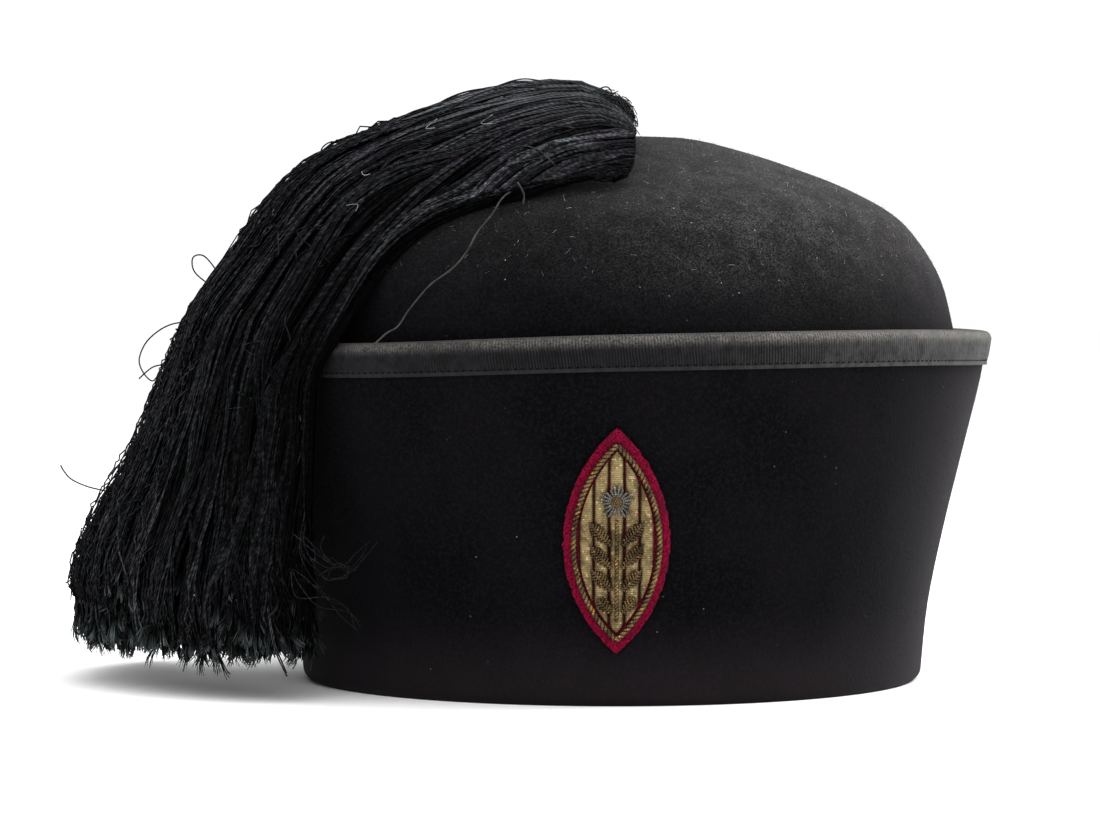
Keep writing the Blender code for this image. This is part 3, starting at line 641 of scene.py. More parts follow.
BADGE_HEIGHT = 58.0 * MM
BADGE_WIDTH = 27.0 * MM
BADGE_CENTRE_HEIGHT = 43.0 * MM
BADGE_MARGIN = 2.0 * MM
BACKING_THICKNESS = 1.2 * MM
NORMAL_STEP = 1.0 * MM


def cuff_skin(across, up):
    """Point on the cuff's outer side, by its distance round from the front and up from mid-badge."""
    point = cuff_at(BADGE_CENTRE_HEIGHT + up)
    return oval_point(point, across / point.radius)


def on_cuff(across, up, out):
    skin = cuff_skin(across, up)
    aside = cuff_skin(across + NORMAL_STEP, up) - cuff_skin(across - NORMAL_STEP, up)
    above = cuff_skin(across, up + NORMAL_STEP) - cuff_skin(across, up - NORMAL_STEP)
    return skin + aside.cross(above).normalized() * out


def arc_radius(half_width, half_height):
    """Radius of the two arcs that make a pointed oval."""
    return (half_height ** 2 + half_width ** 2) / (2 * half_width)


def pointed_width(half_width, half_height, inset, up):
    """Half-width of a pointed oval, drawn in by an inset, at a height from its middle."""
    radius = arc_radius(half_width, half_height)
    return max(math.sqrt(max((radius - inset) ** 2 - up ** 2, 0)) - (radius - half_width), 0.0)


def badge_half(inset, up):
    """Half the badge's width, drawn in by an inset, at a height from its middle."""
    return pointed_width(BADGE_WIDTH / 2, BADGE_HEIGHT / 2, inset, up)


def build_patch():
    bm = bmesh.new()
    bmesh.ops.create_grid(bm, x_segments=22, y_segments=80, size=0.5)
    for vert in bm.verts:
        side = 2 * vert.co.x
        up = BADGE_HEIGHT * vert.co.y
        ragged = 0.55 * MM * noise.noise(Vector((up / (1.6 * MM), side * 2, 0))) * abs(side) ** 6
        vert.co = (side * (badge_half(0.0, up) + ragged), up, SEWN_GAP)
    grown = bmesh.ops.extrude_face_region(bm, geom=bm.faces[:])["geom"]
    for vert in only_verts(grown):
        vert.co.z += BACKING_THICKNESS
    for vert in bm.verts:
        vert.co = on_cuff(*vert.co)
    bmesh.ops.remove_doubles(bm, verts=bm.verts, dist=0.01 * MM)
    bmesh.ops.recalc_face_normals(bm, faces=bm.faces)
    return bm


def crimson_felt():
    """Thin dyed wool felt, saturated crimson, darker in its fibres and dusty here and there."""
    material, tree, shader = new_material("crimson_felt")
    place = add_node(tree, COORDINATES).outputs["Object"]
    fibres = add_node(tree, NOISE,
                      {"Vector": place, "Scale": 1 / (0.5 * MM), "Detail": 5.0, "Roughness": 0.7})
    lit = add_node(tree, RANGE, {0: fibres, 1: 0.38, 2: 0.66}, **SMOOTH)
    dyed = add_node(tree, MIX, {0: lit, 6: "#3c0010", 7: "#7c0a2c"}, **COLOUR)
    patches = add_node(tree, NOISE, {"Vector": place, "Scale": 1 / (5 * MM), "Detail": 3.0})
    soiled = add_node(tree, RANGE, {0: patches, 1: 0.46, 2: 0.70, 4: 0.6}, **SMOOTH)
    colour = add_node(tree, MIX, {0: soiled, 6: dyed, 7: "#3e0a18"}, **COLOUR)
    relief = add_node(tree, BUMP, {"Height": fibres, "Strength": 0.7, "Distance": 0.3 * MM})
    set_inputs(tree, shader, {"Base Color": colour, "Normal": relief, "Roughness": 0.9,
                              "Specular IOR Level": 0.05,
                              "Sheen Weight": 0.05, "Sheen Roughness": 0.4, "Sheen Tint": "#e0708c"})
    return material


CRIMSON = crimson_felt()
patch = finish_piece("badge_patch", build_patch(), CRIMSON, "red_felt", "badge_backing")
wisp = hair_shape("wisp", length=0.9 * MM, width=0.09 * MM, bow=0.4 * MM, segments=1)
patch_nap = scatter("patch_nap", patch, wisp, 600000, seed=23, lean=1.1, small=0.4, large=1.0)
finish_piece("badge_patch_nap", patch_nap, CRIMSON, "red_felt")
bpy.data.objects.remove(wisp)


# The badge: laid ground
# Five flat bars of dull gold gimp stand side by side from top to bottom and fill the border. Fine windings
# run across each bar.

BORDER_RADIUS = 0.85 * MM
GROUND_THICKNESS = 0.8 * MM
GROUND_LOW = 2 * SEWN_GAP + BACKING_THICKNESS
GROUND_INSET = BADGE_MARGIN + 2 * BORDER_RADIUS + SEWN_GAP
BARS = 5
BAR_GAP = 0.22 * MM
BAR_DOME = 0.6 * MM
WINDING_PITCH = 0.55 * MM

# A wire's places, its radius at each, and its tone: painted shade, from 0 in a groove to 1 on a crest
# On the tassel's threads the tone also holds each thread's own darker or lighter colour.
Wire = namedtuple("Wire", "points radii tones", defaults=(1.0,))


def round_profile(name, sides):
    """Cross-section that wires are swept with, a ring of a few sides and radius 1."""
    curve = bpy.data.curves.new(name, "CURVE")
    curve.dimensions = "2D"
    spline = curve.splines.new("POLY")
    spline.points.add(sides - 1)
    for index, point in enumerate(spline.points):
        angle = -2 * math.pi * index / sides
        point.co = (math.cos(angle), math.sin(angle), 0, 1)
    spline.use_cyclic_u = True
    return add_object(name, curve)


def sweep(name, wires, sides):
    """All the wires, swept as curves with round sections and made one mesh, which carries their tones and
    how far each place is from its wire's end."""
    ring = round_profile(name + "_ring", sides)
    curve = bpy.data.curves.new(name, "CURVE")
    curve.dimensions = "3D"
    curve.bevel_mode = "OBJECT"
    curve.bevel_object = ring
    curve.use_fill_caps = True
    layers = {"tone": [], "length": []}
    for wire in wires:
        points = np.array(wire.points, dtype=float)
        count = len(points)
        spline = curve.splines.new("POLY")
        spline.points.add(count - 1)
        spline.points.foreach_set("co", np.column_stack((points, np.ones(count))).ravel())
        spline.points.foreach_set("radius", np.broadcast_to(wire.radii, (count,)).astype(float))
        steps = np.linalg.norm(np.diff(points, axis=0), axis=1)
        layers["tone"].append(np.broadcast_to(wire.tones, (count,)))
        layers["length"].append(np.append(np.cumsum(steps[::-1])[::-1], 0.0))
    mesh = take_mesh(add_object(name, curve))
    bpy.data.objects.remove(ring)
    for layer, values in layers.items():
        caps = [value[end] for value in values[::-1] for end in (-1, 0)]
        spread = np.repeat(np.concatenate((caps, *values)), sides)
        mesh.attributes.new(layer, "FLOAT", "POINT").data.foreach_set("value", spread)
    bm = bmesh.new()
    bm.from_mesh(mesh)
    bmesh.ops.remove_doubles(bm, verts=bm.verts, dist=0.0005 * MM)
    bm.to_mesh(mesh)
    bm.free()
    return mesh


def coiled_wire(points, radius, depth):
    """A wire wound like a spring, two points to each coil, with painted shade on every inner point."""
    turn = np.arange(len(points)) % 2
    return Wire(points, radius - depth * turn, 1.0 - 0.85 * turn)


def metal_thread(name, groove, dark, body, glint, roughness):
    """Metal-wrapped thread: thin tarnished foil wound on a core, with painted shade in its grooves
    and painted glints.
    """
    material, tree, shader = new_material(name)
    place = add_node(tree, COORDINATES).outputs["Object"]
    # Painted shade: the tone darkens the grooves of plies and coils and the edges of the laid bars.
    tone = add_node(tree, ATTRIBUTE, attribute_name="tone").outputs["Fac"]
    length = add_node(tree, ATTRIBUTE, attribute_name="length").outputs["Fac"]
    stains = add_node(tree, NOISE,
                      {"Vector": place, "Scale": 1 / (4.5 * MM), "Detail": 5.0, "Roughness": 0.7})
    clean = add_node(tree, RANGE, {0: stains, 1: 0.36, 2: 0.64}, **SMOOTH)
    base = add_node(tree, MIX, {0: clean, 6: dark, 7: body}, **COLOUR)
    # Painted glints: small bright spots mixed into the colour.
    spots = add_node(tree, NOISE, {"Vector": place, "Scale": 1 / (0.9 * MM), "Detail": 2.0})
    bright = add_node(tree, RANGE, {0: spots, 1: 0.58, 2: 0.72}, **SMOOTH)
    glinting = add_node(tree, MIX, {0: bright, 6: base, 7: glint}, **COLOUR)
    # Painted shade between the windings.
    turns = add_node(tree, MATH, {0: length, 1: 2 * math.pi / WINDING_PITCH}, **TIMES)
    wave = add_node(tree, MATH, {0: turns}, operation="SINE")
    winding = add_node(tree, RANGE, {0: wave, 1: -1.0, 2: 1.0, 3: 0.55})
    lit = add_node(tree, MATH, {0: winding, 1: tone}, **TIMES)
    colour = add_node(tree, MIX, {0: lit, 6: groove, 7: glinting}, **COLOUR)
    relief = add_node(tree, BUMP, {"Height": winding, "Strength": 0.5, "Distance": 0.12 * MM})
    set_inputs(tree, shader, {"Base Color": colour, "Normal": relief, "Roughness": roughness,
                              "Metallic": 0.8})
    return material


def badge_reach(inset, across):
    """Half the badge's height, drawn in by an inset, at a distance from its midline."""
    radius = arc_radius(BADGE_WIDTH / 2, BADGE_HEIGHT / 2)
    return math.sqrt(max((radius - inset) ** 2 - (abs(across) + radius - BADGE_WIDTH / 2) ** 2, 0.0))


def build_laid_ground():
    """Flat wound bars, domed across and cut to the pointed oval inside the border, with painted shade
    at their edges.
    """
    widest = badge_half(GROUND_INSET, 0.0)
    bm = bmesh.new()
    tone = bm.verts.layers.float.new("tone")
    length = bm.verts.layers.float.new("length")
    width = 2 * widest / BARS
    for bar in range(BARS):
        old = set(bm.verts)
        bmesh.ops.create_grid(bm, x_segments=8, y_segments=60, size=0.5)
        top = [vert for vert in bm.verts if vert not in old]
        faces = [face for face in bm.faces if face.verts[0] not in old]
        grown = bmesh.ops.extrude_face_region(bm, geom=faces)["geom"]
        low = set(only_verts(grown))
        for vert in [*top, *low]:
            side = 2 * vert.co.x
            across = (bar + 0.5) * width - widest + side * (width - BAR_GAP) / 2
            up = 2 * vert.co.y * badge_reach(GROUND_INSET, across)
            rise = 0.0 if vert in low else GROUND_THICKNESS - BAR_DOME * side ** 4
            # Painted shade darkens each bar towards its edges.
            vert[tone] = 1 - 0.8 * side ** 6
            vert[length] = up
            vert.co = on_cuff(across, up, GROUND_LOW + rise)
    bmesh.ops.recalc_face_normals(bm, faces=bm.faces)
    return bm


LAID_GOLD = metal_thread("dull_laid_gold", "#1e130d", "#55452a", "#8e7c56", "#b8a678", 0.5)
TWISTED_GOLD = metal_thread("tarnished_twisted_gold", "#120b06", "#3c2e1c", "#7c6440", "#c08c4a", 0.36)
SILVER = metal_thread("grey_silver_thread", "#141312", "#56544d", "#88857a", "#bdb9ac", 0.4)
finish_piece("badge_laid_wires", build_laid_ground(), LAID_GOLD, "laid_gold", "badge_ground")


# The badge: border and stem cords
# Two gold plies twisted together. One cord runs round the laid ground, the other is the spray's stem.

STEM_RADIUS = 0.6 * MM
STEM_LOW = -20.0 * MM
STEM_HIGH = 6.0 * MM
PLY_STEP = 0.4 * MM
BORDER_PITCH = 2.6 * MM
STEM_PITCH = 2.0 * MM


def twisted_cord(path, outward, radius, pitch):
    """Two plies wound round a path, each half as thick as the cord and painted darker where it turns under.
    """
    lengths = [math.dist(a, b) for a, b in zip(path, path[1:])]
    total = sum(lengths)
    turns = max(round(total / pitch), 1)
    count = int(total / PLY_STEP)
    marks = np.concatenate(([0.0], np.cumsum(lengths)))
    spots = np.linspace(0, total, count)
    centre, away = (np.column_stack([np.interp(spots, marks, column) for column in zip(*route)])
                    for route in (path, outward))
    along = np.gradient(centre, axis=0)
    side = np.cross(along, away)
    side /= np.linalg.norm(side, axis=1)[:, None]
    wires = []
    for phase in (0, math.pi):
        angle = (spots / total * turns * 2 * math.pi + phase)[:, None]
        points = centre + radius * 0.5 * (np.cos(angle) * away + np.sin(angle) * side)
        # Painted shade: each ply is darker where it turns under the other.
        wires.append(Wire(points, radius * 0.56, 0.55 + 0.45 * np.cos(angle[:, 0])))
    return wires


def cuff_route(places, out):
    """Points and outward directions for places given as distances across and up on the cuff."""
    points = [on_cuff(*place, out) for place in places]
    normals = [(on_cuff(*place, out + MM) - point).normalized() for place, point in zip(places, points)]
    return points, normals


def border_places():
    """Closed route of the border, point to point up one side and down the other."""
    inset = BADGE_MARGIN + BORDER_RADIUS
    reach = badge_reach(inset, 0.0)
    ups = [reach * math.sin(math.pi * (index / 60 - 0.5)) for index in range(61)]
    side = [(badge_half(inset, up), up) for up in ups]
    return side + [(-across, up) for across, up in side[-2::-1]]


border_points, border_normals = cuff_route(border_places(), GROUND_LOW + BORDER_RADIUS)
border_wires = twisted_cord(border_points, border_normals, BORDER_RADIUS, BORDER_PITCH)
finish_piece("badge_border_cord", sweep("border", border_wires, 6), TWISTED_GOLD, "twisted_gold",
             "badge_border")

SPRAY_LOW = GROUND_LOW + GROUND_THICKNESS + SEWN_GAP
stem_places = [(0.0, STEM_LOW + (STEM_HIGH - STEM_LOW) * index / 30) for index in range(31)]
stem_points, stem_normals = cuff_route(stem_places, SPRAY_LOW + STEM_RADIUS)
stem_wires = twisted_cord(stem_points, stem_normals, STEM_RADIUS, STEM_PITCH)
finish_piece("badge_stem_cord", sweep("stem", stem_wires, 6), TWISTED_GOLD, "twisted_gold", "badge_stem")


# The badge: leaves
# Each leaf is a pad of short gold coils, laid slantwise from midrib to edge and raised in the middle.

LEAF_PAIRS = 4
LEAF_LENGTH = 8.6 * MM
LEAF_WIDTH = 3.4 * MM
LEAF_THICKNESS = 0.5 * MM
LEAF_RISE = 0.7 * MM
LEAF_ANGLE = math.radians(42.0)
COIL_RADIUS = 0.40 * MM
COIL_PITCH = 0.82 * MM
COIL_DEPTH = 0.09 * MM
COIL_SLANT = 0.9


def leaf_wires(root, side, length):
    """Coils of one leaf, in pairs up its midrib, and a thin coil along the midrib itself."""
    start = STEM_RADIUS + SEWN_GAP + LEAF_WIDTH * 0.1
    turn = side * LEAF_ANGLE

    def place(along, off):
        width = max(pointed_width(LEAF_WIDTH / 2, length / 2, 0.0, along - length / 2), 0.05 * MM)
        share = min(abs(off) / width, 1.0)
        rise = LEAF_THICKNESS + LEAF_RISE * (1 - share ** 2) * (1 - (2 * along / length - 1) ** 2)
        across = side * start + along * math.sin(turn) + off * math.cos(turn)
        up = root + along * math.cos(turn) - off * math.sin(turn)
        return on_cuff(across, up, SPRAY_LOW + rise - COIL_RADIUS)

    wires = []
    for index in range(int(length / COIL_PITCH)):
        along = (index + 0.5) * COIL_PITCH
        for edge in (-1, 1):
            reach = pointed_width(LEAF_WIDTH / 2, length / 2, 0.0, min(along * 1.12, length) - length / 2)
            if reach < 0.25 * MM:
                continue
            steps = max(int(reach / (0.2 * MM)), 4)
            shares = np.linspace(0.05, 0.93, steps)
            points = [place(min(along + COIL_SLANT * reach * share * 0.6, length), edge * reach * share)
                      for share in shares]
            wires.append(coiled_wire(points, COIL_RADIUS, COIL_DEPTH))
    rib = [place(length * share, 0.0) for share in np.linspace(0.02, 0.98, 36)]
    wires.append(coiled_wire(rib, COIL_RADIUS * 0.7, COIL_DEPTH * 0.7))
    return wires


def build_leaves():
    widest = badge_half(GROUND_INSET, 0.0)
    spacing = (STEM_HIGH - STEM_LOW) / (LEAF_PAIRS + 0.5)
    number = 0
    for pair in range(LEAF_PAIRS):
        root = STEM_LOW + spacing * (pair + 0.35)
        room = badge_half(GROUND_INSET, root + spacing / 2) / widest
        for side in (-1, 1):
            number += 1
            mesh = sweep(f"leaf_{number}", leaf_wires(root, side, LEAF_LENGTH * room), 5)
            finish_piece(f"badge_leaf_coils_{number}", mesh, TWISTED_GOLD, "twisted_gold",
                         f"badge_leaf_{number}")


build_leaves()


# The badge: bloom
# Five petals of silver coils round a knot of gold thread, at the stem's end.

BLOOM_RADIUS = 4.6 * MM
BLOOM_UP = STEM_HIGH + SEWN_GAP + BLOOM_RADIUS
BLOOM_THICKNESS = 1.2 * MM
BLOOM_PETALS = 5
KNOT_RADIUS = 1.5 * MM
KNOT_HEIGHT = 1.4 * MM
PETAL_COILS = 4


def petal_wires():
    """Silver coils that fan out from the bloom's middle, longest along each petal's midline."""
    wires = []
    for petal in range(BLOOM_PETALS):
        middle = math.pi / 2 + 2 * math.pi * petal / BLOOM_PETALS
        for coil in range(PETAL_COILS):
            lean = (coil / (PETAL_COILS - 1) - 0.5) * 2
            turn = middle + lean * 0.44
            reach = BLOOM_RADIUS * (0.99 - 0.22 * abs(lean) ** 2)
            shares = np.linspace(0.30, 0.97, 16)
            points = []
            for share in shares:
                rise = BLOOM_THICKNESS - COIL_RADIUS - 0.5 * MM * (share - 0.55) ** 2 * 4
                across = reach * share * math.cos(turn)
                up = BLOOM_UP + reach * share * math.sin(turn)
                points.append(on_cuff(across, up, SPRAY_LOW + rise))
            wires.append(coiled_wire(points, COIL_RADIUS, COIL_DEPTH))
    return wires


def knot_wires():
    """Gold thread wound in a small dome."""
    low = SPRAY_LOW + BLOOM_THICKNESS * 0.5
    points = []
    for step in range(70):
        share = step / 69
        turn = share * 4 * 2 * math.pi
        reach = KNOT_RADIUS * (1 - share ** 1.5) * 0.82
        rise = low + (KNOT_HEIGHT + 0.4 * MM) * share ** 0.6
        points.append(on_cuff(reach * math.cos(turn), BLOOM_UP + reach * math.sin(turn), rise))
    return [coiled_wire(points, 0.32 * MM, 0.05 * MM)]


finish_piece("badge_bloom_coils", sweep("bloom", petal_wires(), 6), SILVER, "silver_wire", "badge_bloom")
finish_piece("badge_knot", sweep("knot", knot_wires(), 6), TWISTED_GOLD, "twisted_gold",
             "badge_bloom_centre")


# The tassel: its bed
# Where the skein lies on the crown, bends over the bound edge and hangs, as places across it and along it,
# with its thickness. The threads are laid in this bed.

TASSEL_THICKNESS = 14.5 * MM
TASSEL_SEAT = 0.75 * MM
TASSEL_HANG = 72.0 * MM
TASSEL_FLARE = 27.0 * MM
TASSEL_EDGE_SHARE = 0.2
BED_ACROSS = 41
BED_STEPS = 4
DRAPE_HALVINGS = 16

LyingRow = namedtuple("LyingRow", "front_x front_y middle_x middle_y back_x back_y thick")
LYING_ROWS = (
    LyingRow(front_x=0.042, front_y=-0.655, middle_x=0.045, middle_y=-0.225,
             back_x=0.025, back_y=0.060, thick=0.90),
    LyingRow(front_x=-0.095, front_y=-0.690, middle_x=-0.060, middle_y=-0.235,
             back_x=-0.090, back_y=0.110, thick=1.00),
    LyingRow(front_x=-0.220, front_y=-0.700, middle_x=-0.240, middle_y=-0.245,
             back_x=-0.240, back_y=0.150, thick=1.08),
    LyingRow(front_x=-0.345, front_y=-0.692, middle_x=-0.430, middle_y=-0.250,
             back_x=-0.430, back_y=0.190, thick=1.04),
    LyingRow(front_x=-0.460, front_y=-0.675, middle_x=-0.610, middle_y=-0.260,
             back_x=-0.630, back_y=0.220, thick=1.00),
    LyingRow(front_x=-0.555, front_y=-0.672, middle_x=-0.760, middle_y=-0.265,
             back_x=-0.790, back_y=0.240, thick=0.96),
    LyingRow(front_x=-0.622, front_y=-0.700, middle_x=-0.870, middle_y=-0.270,
             back_x=-0.895, back_y=0.250, thick=0.92),
)
HangingRow = namedtuple("HangingRow", "drop front_turn middle_turn back_turn "
                        "front_off middle_off back_off thick")
HANGING_ROWS = (
    HangingRow(drop=0.00, front_turn=-42.3, middle_turn=-74, back_turn=-105,
               front_off=0.00, middle_off=0.00, back_off=0.00, thick=0.90),
    HangingRow(drop=0.13, front_turn=-46, middle_turn=-74, back_turn=-105,
               front_off=0.02, middle_off=0.09, back_off=0.10, thick=0.94),
    HangingRow(drop=0.33, front_turn=-46.4, middle_turn=-74, back_turn=-105,
               front_off=0.03, middle_off=0.22, back_off=0.28, thick=1.04),
    HangingRow(drop=0.56, front_turn=-46.8, middle_turn=-74, back_turn=-106,
               front_off=0.04, middle_off=0.38, back_off=0.50, thick=1.20),
    HangingRow(drop=0.80, front_turn=-46.5, middle_turn=-74, back_turn=-107,
               front_off=0.06, middle_off=0.56, back_off=0.76, thick=1.42),
    HangingRow(drop=1.00, front_turn=-46.3, middle_turn=-74, back_turn=-108,
               front_off=0.08, middle_off=0.70, back_off=0.95, thick=1.52),
    HangingRow(drop=1.24, front_turn=-46, middle_turn=-74, back_turn=-109,
               front_off=0.10, middle_off=0.80, back_off=1.10, thick=1.52),
)

crown_rings = offset_outline(crown_outline()[0][::2], -TASSEL_SEAT)
rim_crest = max(ribbon_far, key=lambda point: point.height)
rim_width = max(point.radius for point in ribbon_far)
RIM = rim_crest._replace(radius=rim_width + TASSEL_SEAT, height=rim_crest.height + TASSEL_SEAT, strip=0.0)


def ring_reach(ring, x, y):
    """How far out a plan point lies, as a share of a ring of the hat."""
    return math.hypot(x / ring.radius, y / (ring.radius + ring.extra))


def drape_height(x, y):
    """Height at which a thread laid over the crown and the bound edge passes a plan point."""
    turn = math.atan2(x / RIM.radius, -y / (RIM.radius + RIM.extra))
    rim = RIM._replace(height=RIM.height + RIM.wave * edge_wave(turn))
    slopes = [(point.height - rim.height) / (rim.radius - point.radius) for point in crown_rings]
    rings = [*crown_rings[:slopes.index(max(slopes)) + 1], rim]
    for inner, outer in zip(rings, rings[1:]):
        if ring_reach(outer, x, y) <= 1:
            break
    low, high = 0.0, 1.0
    for _ in range(DRAPE_HALVINGS):
        middle = (low + high) / 2
        if ring_reach(blend(inner, outer, middle), x, y) > 1:
            low = middle
        else:
            high = middle
    return blend(inner, outer, high).height


def through_three(front, middle, back, across):
    """A value on the curve from the tassel's front edge through its middle to its back edge."""
    return (front * (1 - across) * (1 - 2 * across) + middle * 4 * across * (1 - across)
            + back * across * (2 * across - 1))


def lying_point(row, across):
    x = RIM.radius * through_three(row.front_x, row.middle_x, row.back_x, across)
    y = (RIM.radius + RIM.extra) * through_three(row.front_y, row.middle_y, row.back_y, across)
    return Vector((x, y, drape_height(x, y)))


def hanging_point(row, across):
    turn = math.radians(through_three(row.front_turn, row.middle_turn, row.back_turn, across))
    off = TASSEL_FLARE * through_three(row.front_off, row.middle_off, row.back_off, across)
    point = oval_point(RIM, turn)
    outward = Vector((point.x / RIM.radius ** 2, point.y / (RIM.radius + RIM.extra) ** 2, 0)).normalized()
    return point + outward * off - Vector((0, 0, row.drop * TASSEL_HANG))


def make_bed():
    """Grid of places under the tassel, and how far and which way its top stands off each."""
    shares = np.linspace(0, 1, BED_ACROSS)
    lying = smooth_rows(LYING_ROWS, BED_STEPS)[:-1]
    hanging = smooth_rows(HANGING_ROWS, BED_STEPS)
    under = np.array([[lying_point(row, share) for share in shares] for row in lying]
                     + [[hanging_point(row, share) for share in shares] for row in hanging])
    outward = np.cross(np.gradient(under, axis=0), np.gradient(under, axis=1))
    outward /= np.linalg.norm(outward, axis=2)[..., None]
    if outward[10, BED_ACROSS // 2, 2] < 0:
        outward = -outward
    lens = np.maximum(TASSEL_EDGE_SHARE, np.sqrt(4 * shares * (1 - shares)))
    thick = np.array([row.thick for row in [*lying, *hanging]])
    return under, outward * (thick[:, None] * lens[None, :] * TASSEL_THICKNESS)[..., None], len(lying)


bed_under, bed_rise, bed_rim = make_bed()
RIM_ALONG = bed_rim / (len(bed_under) - 1)
HEM_ALONG = (bed_rim + (len(HANGING_ROWS) - 2) * BED_STEPS) / (len(bed_under) - 1)


def in_bed(across, along, depth):
    """Places in the tassel: across it, along it, and up through its thickness, as arrays of shares."""
    column = across * (BED_ACROSS - 1)
    row = along * (len(bed_under) - 1)
    left = np.clip(column, 0, BED_ACROSS - 2).astype(int)
    near = np.clip(row, 0, len(bed_under) - 2).astype(int)
    s, t = (column - left)[..., None], (row - near)[..., None]

    def read(grid):
        first = grid[near, left] * (1 - s) + grid[near, left + 1] * s
        second = grid[near + 1, left] * (1 - s) + grid[near + 1, left + 1] * s
        return first * (1 - t) + second * t

    return read(bed_under) + read(bed_rise) * depth[..., None]


# The tassel: threads
# A skein of twisted black thread, looped at the crown's tip and cut at its lower end. At the head it parts
# into two lobes of loops, the lower one turned down over the front, where its threads fan out over the
# others. All run down in loose clumps that cross, and untwist at their cut ends.

THREAD_RADIUS = 0.36 * MM
THREAD_PITCH = 1.7 * MM
THREADS_TO_PIECE = 552
THREADS_TO_CORD = 3
THREAD_PIECES = 4
UPPER_CLUMPS = 66
LOWER_CLUMPS = 20
LOWER_SHARE = 0.17
LOBE_SPLIT = 0.15
LOBE_EDGE = 0.14
HEAD_CREASE = Vector((5.5, -68.0, 147.8)) * MM
HEAD_REACH = 19.5 * MM
HEAD_SPOTS = np.array((0.035, -0.004, 0.0, 0.006, 0.016, 0.033, 0.060, 0.090, 0.125))
HEAD_SHARES = np.array((0.0, 0.0, 0.10, 0.22, 0.36, 0.50, 0.66, 0.83, 1.0))
HEAD_TUCK = 0.3
BODY_STEPS = 25
END_SPOTS = (0.965, 0.98, 0.992, 1.0)
END_SWELL = (1.0, 0.95, 0.8, 0.5)
ENDS_HIGH = 3.0 * MM
EDGE_ACROSS = 0.012
HEM_TUCK = 0.35


def slow_wander(rng, rows, spots, waves):
    """Smooth wandering from -1 to 1 along each of some rows, at shares of the way along."""
    total = np.zeros((rows, len(spots)))
    for wave in range(1, waves + 1):
        phase = rng.uniform(0, 2 * math.pi, (rows, 1))
        height = rng.normal(0, 1, (rows, 1)) / wave ** 0.8
        total += height * np.sin(2 * math.pi * wave * spots * rng.uniform(0.7, 1.2, (rows, 1)) + phase)
    return total / 2


def ramp(values, start, width):
    """How far values have come from a start across a width, from 0 to 1."""
    return np.clip((values - start) / width, 0, 1)


def parted(lane, along):
    """How far across an upper lobe's thread lies: past the lower lobe at the head, then in its lane."""
    share = ramp(along, 0.03, 0.24)
    return lane + LOBE_SPLIT * (1 - lane) * (1 - share * share * (3 - 2 * share))


